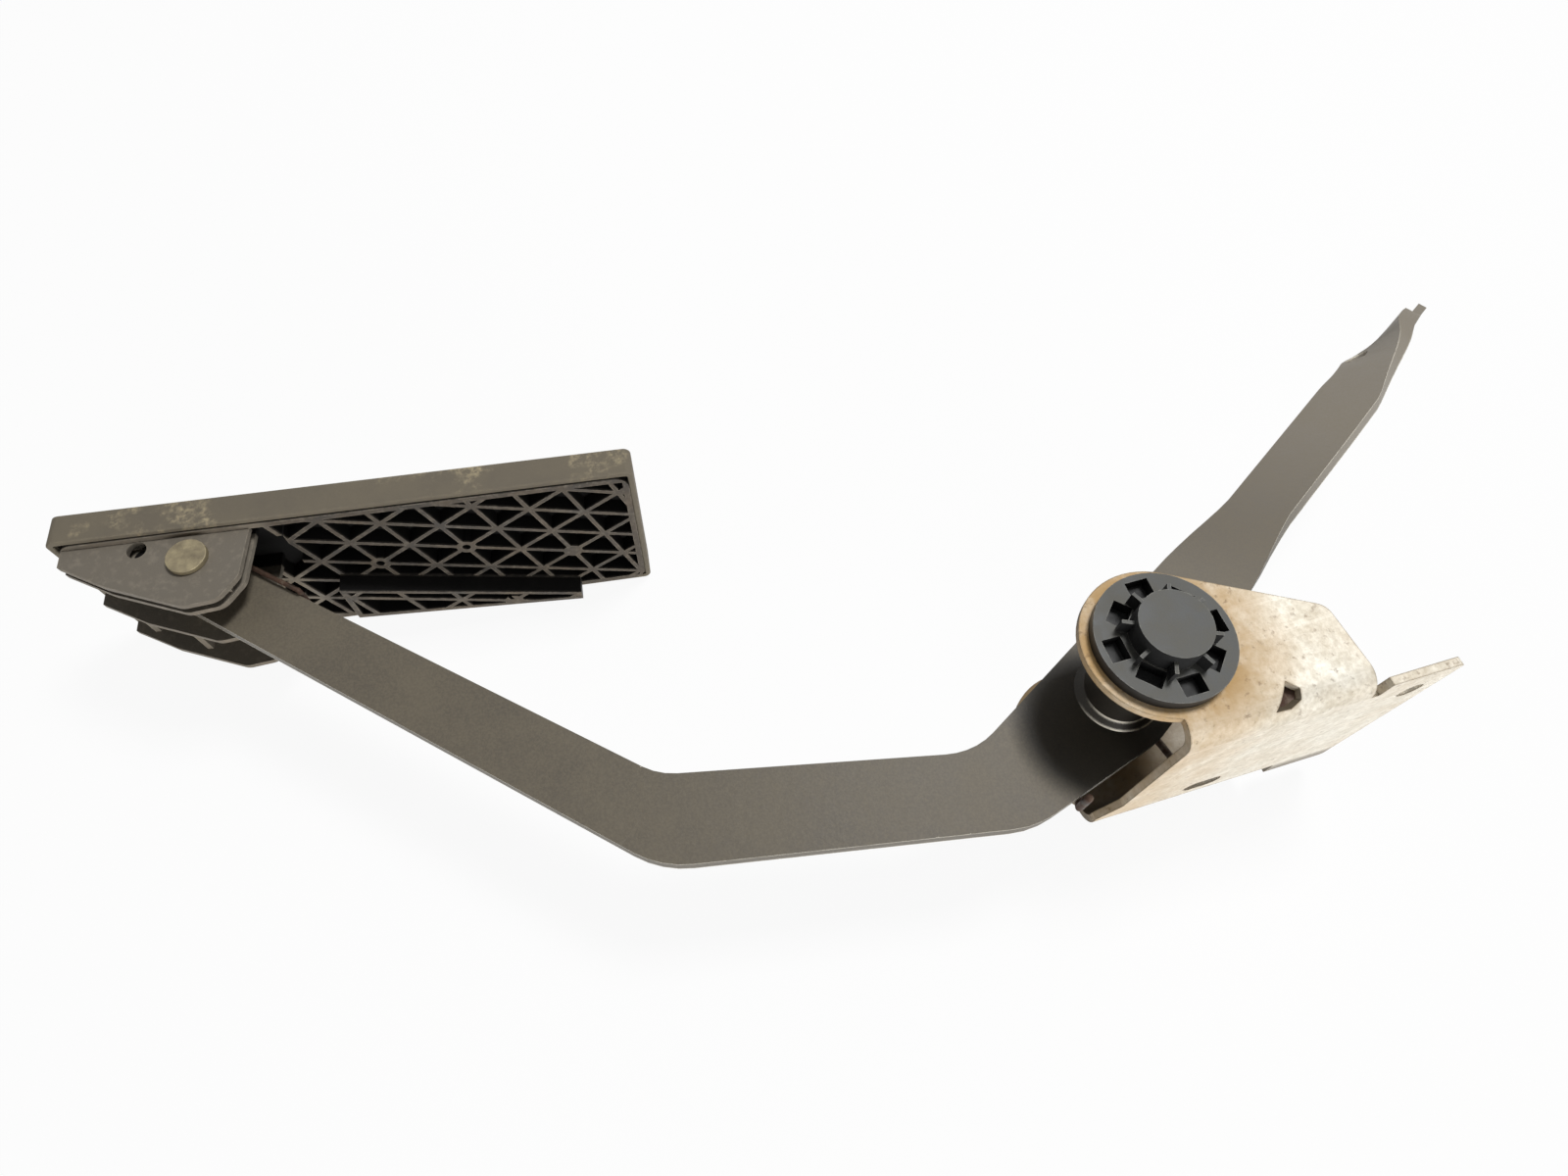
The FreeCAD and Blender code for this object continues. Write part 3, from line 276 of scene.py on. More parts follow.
def buildMaterial(name, v):
    material = bpy.data.materials.new(name)
    material.use_nodes = True
    tree = material.node_tree
    tree.nodes.clear()
    output = addNode(tree, "ShaderNodeOutputMaterial", (1900, 0))
    shader = addNode(tree, "ShaderNodeBsdfPrincipled", (1600, 0), **v["shader"])
    tree.links.new(shader.outputs["BSDF"], output.inputs["Surface"])
    masks = placeMasks(tree, v["masks"])
    colour = v["colours"][v["base"]]
    for step, (mask, strength, above) in enumerate(v["layers"]):
        share = addMath(tree, (-800 + 220 * step, 150), "MULTIPLY", masks[mask], strength)
        colour = addMix(tree, (-650 + 220 * step, 400), share, colour, v["colours"][above], "RGBA")
    tree.links.new(colour, shader.inputs["Base Color"])
    for row, (label, (mask, outside, inside)) in enumerate(v["spans"].items()):
        value = addMix(tree, (1300, -200 * row), masks[mask], outside, inside)
        tree.links.new(value, shader.inputs[label])
    fine = useGroup(tree, grain, (1000, -500), **v["grain"])
    bump = addNode(tree, "ShaderNodeBump", (1300, -500), Height=fine, **v["bump"])
    tree.links.new(bump.outputs["Normal"], shader.inputs["Normal"])
    return material


# Stained zinc of the bracket, with painted shade on its inner faces and on the far ear

zincValues = {
    "shader": {"Metallic": 0.2, "Specular IOR Level": 0.4},
    "colours": {
        "clean": tint(214, 208, 192), "pale": tint(246, 242, 230), "tan": tint(178, 142, 86),
        "brown": tint(104, 76, 46), "grime": tint(150, 136, 110), "inner": tint(70, 60, 44),
        "edge": tint(112, 94, 66),
    },
    "masks": {
        "mottle": (patches, {"scale": 150.0, "cover": 0.5, "soft": 0.14, "seed": 1.0}),
        "flake": (patches, {"scale": 650.0, "cover": 0.5, "soft": 0.12, "seed": 21.0}),
        "line": (streaks, {"scale": 230.0, "cover": 0.35, "seed": 3.0}),
        "around": (nearAxis, {"centre": (-0.030, 0.0, -0.0478), "inner": 0.021, "outer": 0.040}),
        "blot": (patches, {"scale": 62.0, "cover": 0.86, "soft": 0.2, "seed": 8.0}),
        "stain": ("MULTIPLY", "around", "blot"),
        "cloud": (patches, {"scale": 40.0, "cover": 0.4, "soft": 0.18, "seed": 4.0}),
        "speck": (patches, {"scale": 420.0, "cover": 0.2, "soft": 0.05, "seed": 2.0}),
        # Painted shade: faces looking along -X inside the channel, and the far ear past a plane in Y, take the
        # dark inner colour
        "inner": (facing, {"way": (-1.0, 0.0, 0.0), "low": 0.1, "high": 0.6}),
        "far": (level, {"way": (0.0, 1.0, 0.0), "low": 0.0300, "high": 0.0345}),
        "edge": (edgeWear, {"radius": 0.0009, "scale": 160.0, "amount": 0.85}),
    },
    "base": "clean",
    "layers": (
        ("mottle", 1.0, "pale"), ("flake", 0.35, "grime"), ("line", 0.5, "pale"), ("stain", 0.9, "tan"),
        ("cloud", 0.3, "tan"), ("speck", 0.6, "brown"), ("inner", 0.9, "inner"), ("far", 0.7, "inner"),
        ("edge", 0.8, "edge"),
    ),
    "spans": {"Roughness": ("stain", 0.48, 0.72)},
    "grain": {"scale": 900.0, "detail": 5.0},
    "bump": {"Strength": 0.4, "Distance": 0.0002},
}


# Black moulded plastic of the pivot bushes, dusty on top, with painted shade on its side walls and a near black
# painted shade behind the cap's windows

plasticValues = {
    "shader": {"Specular IOR Level": 0.3},
    "colours": {
        "body": tint(64, 66, 66), "wallShade": tint(34, 34, 34), "deep": tint(8, 8, 8),
        "dust": tint(118, 114, 102), "worn": tint(170, 168, 160),
    },
    "masks": {
        "cloud": (patches, {"scale": 150.0, "cover": 0.45, "soft": 0.2, "seed": 3.0}),
        "top": (facing, {"low": 0.2, "high": 0.95}),
        "dust": ("MULTIPLY", "cloud", "top"),
        "edge": (edgeWear, {"radius": 0.0005, "scale": 400.0, "amount": 0.6}),
        # Painted shade: faces that don't look along -Y take the dark wall colour
        "shadedSides": (facing, {"low": 0.95, "high": 0.2}),
        # Painted shade: a near black band in Y, behind the cap's windows
        "behind": (level, {"way": (0.0, 1.0, 0.0), "low": -0.0385, "high": -0.0368}),
        "ahead": (level, {"way": (0.0, 1.0, 0.0), "low": -0.0180, "high": -0.0190}),
        "shadeBehindWindows": ("MULTIPLY", "behind", "ahead"),
    },
    "base": "body",
    "layers": (("dust", 0.5, "dust"), ("edge", 0.6, "worn"), ("shadedSides", 1.0, "wallShade"), ("shadeBehindWindows", 1.0, "deep")),
    "spans": {"Roughness": ("dust", 0.42, 0.65)},
    "grain": {"scale": 2200.0, "detail": 3.0},
    "bump": {"Strength": 0.2, "Distance": 0.0001},
}


# Satin black paint of the arm, with a painted sheen lighter along the lever, the near ear's painted shadow dark
# at the hub, and edges worn to steel, all along those facing +X as a painted highlight

paintValues = {
    "shader": {"Specular IOR Level": 0.25},
    "colours": {
        "paint": tint(88, 82, 73), "light": tint(134, 128, 119), "dust": tint(126, 117, 98),
        "primer": tint(160, 152, 136), "steel": tint(226, 220, 204), "earShadow": tint(12, 11, 10),
    },
    "masks": {
        # Painted sheen: the lever turns to the lighter colour towards its end
        "lever": (nearAxis, {"centre": (-0.135, 0.0, 0.130), "inner": 0.060, "outer": 0.190}),
        "cloud": (patches, {"scale": 45.0, "cover": 0.5, "soft": 0.22, "seed": 5.0}),
        "top": (facing, {"low": 0.2, "high": 0.95}),
        "dust": ("MULTIPLY", "cloud", "top"),
        "speck": (patches, {"scale": 1400.0, "cover": 0.45, "soft": 0.12, "seed": 6.0}),
        "scuff": (streaks, {"scale": 160.0, "turn": (0.0, 0.70, 0.0), "cover": 0.12, "seed": 1.0}),
        # Painted shadow: the near ear's cast shadow on the arm, a near black circle offset from the pivot
        "earShadow": (nearAxis, {"centre": (-0.0225, 0.0, -0.0590), "inner": 0.0205, "outer": 0.0275}),
        "edge": (edgeWear, {"radius": 0.0012, "scale": 200.0, "amount": 0.85}),
        # Edges wear to bright steel at random chips (real wear), and all along the edges that face +X, which is
        # a painted highlight
        "lower": (facing, {"way": (1.0, 0.0, -0.1), "low": 0.05, "high": 0.5}),
        "chip": (patches, {"scale": 380.0, "cover": 0.12, "soft": 0.02, "seed": 31.0}),
        "rubbed": ("MAXIMUM", "lower", "chip"),
        "bare": ("MULTIPLY", "edge", "rubbed"),
    },
    "base": "paint",
    "layers": (
        ("lever", 1.0, "light"), ("dust", 0.4, "dust"), ("speck", 0.35, "dust"), ("scuff", 0.3, "primer"),
        ("earShadow", 0.8, "earShadow"), ("bare", 1.0, "steel"),
    ),
    "spans": {"Metallic": ("bare", 0.0, 0.3), "Roughness": ("dust", 0.46, 0.516)},
    "grain": {"scale": 420.0, "detail": 5.0},
    "bump": {"Strength": 0.2, "Distance": 0.0004},
}


# Glass-filled plastic of the pad's ribbed body, with painted shade in its pockets, on the walls of its ribs and
# in the cheek's hole. The planes are the pad's own, as a direction and a reach along it in metres

padPlanes = {
    "outward": (0.99288, 0.0, -0.11910), "face": -0.11694,
    "along": (0.11910, 0.0, 0.99288), "foot": -0.36936,
}


def padLevel(way, plane, low, high):
    start = padPlanes[plane]
    return level, {"way": padPlanes[way], "low": start + low, "high": start + high}


ribValues = {
    "shader": {"Specular IOR Level": 0.15},
    "colours": {
        "body": tint(72, 69, 65), "cheek": tint(116, 110, 100), "deep": tint(16, 15, 14),
        "dust": tint(128, 112, 92), "worn": tint(168, 158, 142),
    },
    "masks": {
        "cloud": (patches, {"scale": 85.0, "cover": 0.42, "soft": 0.2, "seed": 9.0}),
        "back": (facing, {"way": (0.9, -0.4, 0.1), "low": 0.3, "high": 0.95}),
        "dust": ("MULTIPLY", "cloud", "back"),
        "fleck": (patches, {"scale": 420.0, "cover": 0.3, "soft": 0.08, "seed": 19.0}),
        "edge": (edgeWear, {"radius": 0.0006, "scale": 260.0, "amount": 0.62}),
        "rail": padLevel("along", "foot", 0.062, 0.066),
        # Painted shade: the rib walls, the cheek's hole and the pockets below the face take the deep colour
        "side": padLevel("outward", "face", 0.0003, 0.0008),
        "crest": padLevel("outward", "face", 0.0068, 0.0062),
        "flank": ("MULTIPLY", "side", "crest"),
        "wallShade": ("MULTIPLY", "flank", "rail"),
        "hole": (nearAxis, {"centre": (-0.15385, 0.0, -0.32757), "inner": 0.0027, "outer": 0.0029}),
        "pocket": padLevel("outward", "face", -0.0002, -0.0009),
    },
    "base": "cheek",
    "layers": (
        ("rail", 1.0, "body"), ("fleck", 0.25, "worn"), ("dust", 0.5, "dust"), ("edge", 0.5, "worn"),
        ("wallShade", 1.0, "deep"), ("hole", 1.0, "deep"), ("pocket", 1.0, "deep"),
    ),
    "spans": {"Roughness": ("dust", 0.5, 0.75)},
    "grain": {"scale": 1400.0, "detail": 4.0},
    "bump": {"Strength": 0.3, "Distance": 0.0002},
}


# Rubber of the pad's cover

rubberValues = {
    "shader": {"Specular IOR Level": 0.2},
    "colours": {"body": tint(106, 99, 87), "scuff": tint(188, 174, 142), "dust": tint(134, 125, 106)},
    "masks": {
        "cloud": (patches, {"scale": 60.0, "cover": 0.5, "soft": 0.2, "seed": 11.0}),
        "scuff": (patches, {"scale": 46.0, "cover": 0.28, "soft": 0.06, "seed": 12.0}),
        "fleck": (patches, {"scale": 520.0, "cover": 0.42, "soft": 0.1, "seed": 13.0}),
        "rubbed": ("MULTIPLY", "scuff", "fleck"),
        "edge": (edgeWear, {"radius": 0.0009, "scale": 300.0, "amount": 0.6}),
    },
    "base": "body",
    "layers": (("cloud", 0.45, "dust"), ("rubbed", 1.0, "scuff"), ("edge", 0.45, "scuff")),
    "spans": {"Roughness": ("cloud", 0.6, 0.8)},
    "grain": {"scale": 800.0, "detail": 5.0},
    "bump": {"Strength": 0.35, "Distance": 0.0003},
}


# Plain steel of the pin, tube and clip

steelValues = {
    "shader": {"Specular IOR Level": 0.5},
    "colours": {"pin": tint(150, 139, 110), "dull": tint(112, 102, 82), "bright": tint(188, 178, 150)},
    "masks": {
        "cloud": (patches, {"scale": 260.0, "cover": 0.5, "soft": 0.15, "seed": 14.0}),
        "edge": (edgeWear, {"radius": 0.0005, "scale": 500.0, "amount": 0.7}),
    },
    "base": "pin",
    "layers": (("cloud", 1.0, "dull"), ("edge", 1.0, "bright")),
    "spans": {"Metallic": ("cloud", 0.65, 0.35), "Roughness": ("cloud", 0.45, 0.65)},
    "grain": {"scale": 1800.0, "detail": 4.0},
    "bump": {"Strength": 0.3, "Distance": 0.0001},
}


# Rusty sprung steel

springSteelValues = {
    "shader": {"Specular IOR Level": 0.5},
    "colours": {"steel": tint(60, 50, 42), "rust": tint(68, 44, 30), "bright": tint(112, 100, 84)},
    "masks": {
        "rust": (patches, {"scale": 240.0, "cover": 0.55, "soft": 0.12, "seed": 15.0}),
        "bare": (patches, {"scale": 420.0, "cover": 0.3, "soft": 0.06, "seed": 16.0}),
    },
    "base": "steel",
    "layers": (("rust", 1.0, "rust"), ("bare", 0.7, "bright")),
    "spans": {"Metallic": ("rust", 0.7, 0.15), "Roughness": ("rust", 0.4, 0.8)},
    "grain": {"scale": 2600.0, "detail": 5.0},
    "bump": {"Strength": 0.5, "Distance": 0.0001},
}


# Pale plastic of the pin's bush

bushValues = {
    "shader": {"Specular IOR Level": 0.45},
    "colours": {"body": tint(196, 188, 168), "grime": tint(120, 106, 84)},
    "masks": {"grime": (patches, {"scale": 200.0, "cover": 0.4, "soft": 0.15, "seed": 17.0})},
    "base": "body",
    "layers": (("grime", 1.0, "grime"),),
    "spans": {"Roughness": ("grime", 0.4, 0.65)},
    "grain": {"scale": 1800.0, "detail": 3.0},
    "bump": {"Strength": 0.2, "Distance": 0.0001},
}

finishes = {
    "zinc_steel": buildMaterial("zincSteel", zincValues),
    "black_plastic": buildMaterial("blackPlastic", plasticValues),
    "black_paint": buildMaterial("blackPaint", paintValues),
    "pad_plastic": buildMaterial("ribPlastic", ribValues),
    "pad_rubber": buildMaterial("rubberCover", rubberValues),
    "plain_steel": buildMaterial("plainSteel", steelValues),
    "spring_steel": buildMaterial("springSteel", springSteelValues),
    "bush_plastic": buildMaterial("palePlastic", bushValues),
}
print("stage: materials built")


# Mesh helpers. Forms are drawn in millimetres, and makeObject turns them into metres

mm = 0.001


def arcPoints(centre, radius, start, end, step=9.0):
    count = max(2, round(abs(end - start) / step))
    points = []
    for index in range(count + 1):
        turn = math.radians(start + (end - start) * index / count)
        points.append(Vector((centre[0] + radius * math.cos(turn), centre[1] + radius * math.sin(turn))))
    return points


def circlePoints(centre, radius, step):
    return arcPoints(centre, radius, 0, 360 - step, step)


def roundCorners(corners):
    points = []
    for index, (x, z, radius) in enumerate(corners):
        here = Vector((x, z))
        if radius == 0:
            points.append(here)
            continue
        before = (Vector(corners[index - 1][:2]) - here).normalized()
        after = (Vector(corners[(index + 1) % len(corners)][:2]) - here).normalized()
        half = math.acos(max(-1.0, min(1.0, before.dot(after)))) / 2
        centre = here + (before + after).normalized() * (radius / math.sin(half))
        first = here + before * (radius / math.tan(half)) - centre
        last = here + after * (radius / math.tan(half)) - centre
        start = math.degrees(math.atan2(first.y, first.x))
        turn = (math.degrees(math.atan2(last.y, last.x)) - start + 180) % 360 - 180
        points.extend(arcPoints(centre, radius, start, start + turn))
    return points


def isInside(spot, loop):
    inside = False
    for index, first in enumerate(loop):
        second = loop[(index + 1) % len(loop)]
        if (first.y > spot.y) != (second.y > spot.y):
            if spot.x < first.x + (spot.y - first.y) * (second.x - first.x) / (second.y - first.y):
                inside = not inside
    return inside


def joinLoops(form, first, second):
    for index in range(len(first)):
        other = (index + 1) % len(first)
        form.faces.new((first[index], first[other], second[other], second[index]))


def makeObject(name, form):
    bmesh.ops.recalc_face_normals(form, faces=form.faces)
    bmesh.ops.scale(form, vec=(mm, mm, mm), verts=form.verts)
    mesh = bpy.data.meshes.new(name)
    form.to_mesh(mesh)
    form.free()
    made = bpy.data.objects.new(name, mesh)
    scene.collection.objects.link(made)
    return made


def newPiece(name, form, body, slotName, *nodeNames):
    piece = makeObject(name, form)
    piece.data.materials.append(finishes[slotName])
    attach(piece, body)
    if nodeNames:
        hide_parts(*nodeNames)
    return piece


def cutWith(piece, form):
    cutter = makeObject("cutter", form)
    cut = piece.modifiers.new("cut", "BOOLEAN")
    cut.operation = "DIFFERENCE"
    cut.solver = "EXACT"
    cut.object = cutter
    bpy.context.view_layer.update()
    shaped = bpy.data.meshes.new_from_object(piece.evaluated_get(bpy.context.evaluated_depsgraph_get()))
    piece.modifiers.remove(cut)
    piece.data = shaped
    bpy.data.objects.remove(cutter)


def softenEdges(piece, width, angle=35.0, segments=2):
    soften = piece.modifiers.new("softEdges", "BEVEL")
    soften.width = width
    soften.segments = segments
    soften.limit_method = "ANGLE"
    soften.angle_limit = math.radians(angle)
    piece.modifiers.new("evenShade", "WEIGHTED_NORMAL")


def smoothFaces(piece):
    for polygon in piece.data.polygons:
        polygon.use_smooth = True


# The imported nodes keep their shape, with edges softened by widths in metres

nodeValues = {
    "widths": {
        "near_bush": 0.0002, "far_bush": 0.0003, "hub_tube": 0.0002, "pad_pin": 0.0003,
        "pin_bush": 0.0002, "pin_clip": 0.00015, "pad_spacer": 0.00012, "pad_body": 0.00016,
    },
    "weldDistance": 0.000002, "flatAngle": 0.4,
}


def dressNode(name, slotName):
    v = nodeValues
    node = nodes[name]
    node.data.materials.clear()
    node.data.materials.append(finishes[slotName])
    if name in v["widths"]:
        weld = node.modifiers.new("joinPoints", "WELD")
        weld.merge_threshold = v["weldDistance"]
        flatten = node.modifiers.new("joinFlats", "DECIMATE")
        flatten.decimate_type = "DISSOLVE"
        flatten.angle_limit = math.radians(v["flatAngle"])
        softenEdges(node, v["widths"][name])


for row in frame["record"]["subparts"]:
    dressNode(row["node"], row["material_slot"])
print("stage: nodes dressed")


# Bracket, cut as a flat blank and folded

bracketValues = {
    "sheet": 2.6, "bend": 7.5, "bendSteps": 8, "middle": 1.3, "half": 37.5, "top": 32.2,
    "cornerRound": 1.5, "relief": (6.0, 8.6), "reliefDepth": 7.0, "pivot": (-30.0, -47.8), "earRound": 22.8,
    "earCorner": (-27.2, 4.4), "cornerCurve": 5.0, "nearFoot": -52.6, "farFoot": -59.0,
    "farStep": (19.0, 28.0), "nearHole": 18.6, "farHole": 13.0, "boltHole": (-24.7, 22.8),
    "slot": (22.1, -22.8), "slotHalf": 2.8, "boltRadius": 3.7, "roundStep": 6.0, "boltStep": 15.0,
    "dart": ((-2.6, -26.3), (-2.4, -21.6), (-3.8, -18.2), (-6.8, -17.4), (-9.7, -20.2)),
    "softEdge": 0.00045, "tolerance": 0.001, "flatAngle": 0.5, "headMargin": 0.1,
}


def blankAlong(x):
    v = bracketValues
    flat = v["half"] - v["bend"]
    if x > -v["bend"]:
        return flat + v["bend"] * math.acos((x + v["bend"]) / v["bend"])
    return flat + v["bend"] * math.pi / 2 - x - v["bend"]


def foldPoint(along, z):
    v = bracketValues
    flat = v["half"] - v["bend"]
    side = 1 if along > 0 else -1
    past = abs(along) - flat
    if past <= 0 or z > v["relief"][1] - v["headMargin"]:
        return Vector((0.0, v["middle"] + along, z))
    quarter = v["bend"] * math.pi / 2
    if past < quarter:
        turn = past / v["bend"]
        across = flat + v["bend"] * math.sin(turn)
        return Vector((v["bend"] * (math.cos(turn) - 1), v["middle"] + side * across, z))
    return Vector((-v["bend"] - (past - quarter), v["middle"] + side * v["half"], z))


def earOutline(side, foot):
    v = bracketValues
    middle = Vector(v["pivot"])
    low = Vector((-v["bend"], foot)) - middle
    high = Vector(v["earCorner"]) - middle
    start = math.degrees(math.atan2(high.y, high.x) + math.acos(v["earRound"] / high.length))
    end = 360 + math.degrees(math.atan2(low.y, low.x) - math.acos(v["earRound"] / low.length))
    tangent = arcPoints(v["pivot"], v["earRound"], start, end, v["roundStep"])
    corner = (*v["earCorner"], v["cornerCurve"])
    ear = roundCorners([(-v["bend"], v["relief"][0], 0), corner, (*tangent[0], 0)])
    points = ear[:-1] + tangent + [Vector((-v["bend"], foot))]
    return [Vector((side * blankAlong(p.x), p.y)) for p in points]


def blankSide(side, foot):
    v = bracketValues
    low, high = v["relief"]
    notch = v["half"] - v["reliefDepth"]
    relief = [Vector((side * v["half"], high)), Vector((side * notch, high)), Vector((side * notch, low))]
    return relief + earOutline(side, foot)


def blankOutline():
    v = bracketValues
    half, high = v["half"], v["relief"][1]
    top = [(side * half, v["top"], v["cornerRound"]) for side in (-1, 1)]
    head = roundCorners([(-half, high, 0), *top, (half, high, 0)])[1:-1]
    step = [Vector((v["farStep"][1], v["farFoot"])), Vector((v["farStep"][0], v["nearFoot"]))]
    return head + blankSide(1, v["farFoot"]) + step + blankSide(-1, v["nearFoot"])[::-1]


def blankHoles():
    v = bracketValues
    slotX, slotZ = v["slot"]
    slot = arcPoints((slotX, slotZ + v["slotHalf"]), v["boltRadius"], 0, 180, v["boltStep"])
    slot += arcPoints((slotX, slotZ - v["slotHalf"]), v["boltRadius"], 180, 360, v["boltStep"])
    pivotAlong = blankAlong(v["pivot"][0])
    return [
        slot, circlePoints(v["boltHole"], v["boltRadius"], v["boltStep"]),
        circlePoints((-pivotAlong, v["pivot"][1]), v["nearHole"], v["roundStep"]),
        circlePoints((pivotAlong, v["pivot"][1]), v["farHole"], v["roundStep"]),
        [Vector((-blankAlong(x), z)) for x, z in v["dart"]],
    ]


def fillBlank(outline, holes):
    points = []
    edges = []
    for loop in [outline, *holes]:
        first = len(points)
        points.extend(loop)
        edges.extend((first + i, first + (i + 1) % len(loop)) for i in range(len(loop)))
    made = delaunay_2d_cdt(points, edges, [], 2, bracketValues["tolerance"])
    form = bmesh.new()
    spots = [form.verts.new((p.x, 0.0, p.y)) for p in made[0]]
    for face in made[2]:
        centre = sum((made[0][i] for i in face), Vector((0.0, 0.0))) / len(face)
        if isInside(centre, outline) and not any(isInside(centre, hole) for hole in holes):
            form.faces.new([spots[i] for i in face])
    for spot in [spot for spot in form.verts if not spot.link_faces]:
        form.verts.remove(spot)
    return form


def buildBracket():
    v = bracketValues
    form = fillBlank(blankOutline(), blankHoles())
    for index in range(v["bendSteps"] + 1):
        along = v["half"] - v["bend"] + v["bend"] * math.pi / 2 * index / v["bendSteps"]
        for side in (-1, 1):
            everything = form.verts[:] + form.edges[:] + form.faces[:]
            plane = {"plane_co": (side * along, 0, 0), "plane_no": (1, 0, 0)}
            bmesh.ops.bisect_plane(form, geom=everything, dist=v["tolerance"] / 10, **plane)
    for spot in form.verts:
        spot.co = foldPoint(spot.co.x, spot.co.z)
    bmesh.ops.remove_doubles(form, verts=form.verts, dist=v["tolerance"])
    flat = math.radians(v["flatAngle"])
    bmesh.ops.dissolve_limit(form, angle_limit=flat, verts=form.verts, edges=form.edges)
    piece = newPiece("bracket_folded", form, "bracket", "zinc_steel", "mounting_bracket")
    smoothFaces(piece)
    web = [p for p in piece.data.polygons if abs(p.center.x) < 0.001]
    thicken = piece.modifiers.new("sheet", "SOLIDIFY")
    thicken.thickness = v["sheet"] * mm
    thicken.offset = -1.0 if web[0].normal.x > 0 else 1.0
    thicken.use_even_offset = True
    softenEdges(piece, v["softEdge"])


buildBracket()


# Slanted floor behind the pressed dart, as corners in Y and Z, in dark rusty steel as painted shade in the
# recess

dartValues = {
    "corners": ((-30.6, -28.5), (-33.7, -15.5), (-32.5, -15.5), (-29.4, -28.5)), "span": (-12.5, -3.6),
}


def buildDartFloor():
    form = bmesh.new()
    ends = []
    for x in dartValues["span"]:
        ends.append([form.verts.new((x, y, z)) for y, z in dartValues["corners"]])
        form.faces.new(ends[-1])
    joinLoops(form, ends[0], ends[1])
    newPiece("dart_floor", form, "bracket", "spring_steel")


buildDartFloor()


# Dark collar behind the cap's windows, as its section in Y and radius, which fills them with a near black
# painted shade

collarValues = {"section": ((-36.1, 18.5), (-36.1, 10.5), (-34.6, 10.5), (-34.6, 18.5)), "step": 5.0}


def buildCollar():
    v = collarValues
    form = bmesh.new()
    rings = []
    for y, radius in v["section"]:
        circle = circlePoints(bracketValues["pivot"], radius, v["step"])
        rings.append([form.verts.new((p.x, y, p.y)) for p in circle])
    for first, second in zip(rings, rings[1:] + rings[:1]):
        joinLoops(form, first, second)
    newPiece("bush_collar", form, "bracket", "black_plastic")


buildCollar()
print("stage: bracket folded")


# Arm and cable lever, one strip. A station is the way along the lever, its turn in degrees, and how far the
# strip reaches from the lever's middle to the left, the right, the front and the back

armValues = {
    "pivot": (-30.0, -47.8), "nearFace": -1.2, "thick": 5.2, "lean": 30.7,
    "lower": ((-18.4, -5.9, 14), (5.9, -50.5, 24), (-14.0, -142.5, 20)),
    "endCentre": (-116.5, -264.7), "endRadius": 10.8, "endIn": (-122.7, -258.9), "endOut": (-108.3, -272.4),
    "endStep": 8.0,
    "upper": ((12.2, -148.0, 30), (31.7, -42.0, 30), (18.3, 5.0, 14)),
    "root": (25.0, 18.5), "rootCurve": 20, "neck": (46.0, 14.5),
    "eye": (198.0, -9.6), "eyeTurn": 58.5, "eyeRadius": 4.2, "eyeReach": 40, "eyeSides": 32,
    "softEdge": 0.0006, "softAngle": 40.0, "softSteps": 3,
    "stations": (
        (54, 5, 14.1, 14.1, 2.6, 2.6), (62, 10, 13.5, 13.6, 2.6, 2.6), (71, 15, 12.7, 12.8, 2.6, 2.6),
        (79, 19, 11.8, 11.8, 2.6, 2.6), (88, 25, 11.0, 11.0, 2.6, 2.6), (95, 28.7, 10.65, 10.65, 2.6, 2.6),
        (120, 28.7, 10.65, 10.65, 2.6, 2.6), (145, 28.7, 10.65, 10.65, 2.6, 2.6),
        (166, 28.7, 10.65, 10.4, 2.6, 2.6), (170, 30.5, 10.65, 10.0, 2.6, 2.6),
        (174.5, 34.5, 10.65, 9.4, 2.6, 2.6), (178, 37.5, 10.7, 8.9, 2.6, 2.6), (181, 40, 10.9, 8.5, 2.6, 2.6),
        (184, 42.7, 11.3, 8.1, 2.6, 2.6), (187, 45.5, 11.8, 7.8, 2.6, 2.6), (191, 50, 12.9, 7.4, 2.6, 2.6),
        (194, 53.5, 13.9, 7.2, 2.6, 2.6), (197, 57.5, 14.9, 7.0, 2.6, 2.6), (200, 61.5, 15.6, 6.8, 2.8, 2.6),
        (203, 66, 15.5, 6.6, 3.1, 2.6), (205.5, 70, 14.2, 6.5, 3.5, 2.5), (207.5, 74, 11.8, 6.4, 3.9, 2.4),
        (209, 78, 9.6, 6.4, 4.3, 2.3), (211, 83, 7.6, 6.4, 4.7, 2.1), (213.5, 88, 6.6, 6.4, 5.0, 1.9),
        (218, 90, 6.2, 6.3, 5.0, 1.8), (221, 90, 5.6, 5.8, 4.6, 1.7), (222, 90, 5.0, 5.2, 4.0, 1.7),
        (222.05, 90, 3.2, 3.2, 1.7, 1.7), (231, 90, 3.2, 3.2, 1.7, 1.7),
    ),
}


def leverSpot(along, turn, wide, deep):
    v = armValues
    lean = math.radians(v["lean"])
    angle = math.radians(turn)
    side = wide * math.cos(angle) + deep * math.sin(angle)
    back = deep * math.cos(angle) - wide * math.sin(angle)
    x = v["pivot"][0] - along * math.sin(lean) + side * math.cos(lean)
    z = v["pivot"][1] + along * math.cos(lean) + side * math.sin(lean)
    return Vector((x, v["nearFace"] + v["thick"] / 2 + back, z))


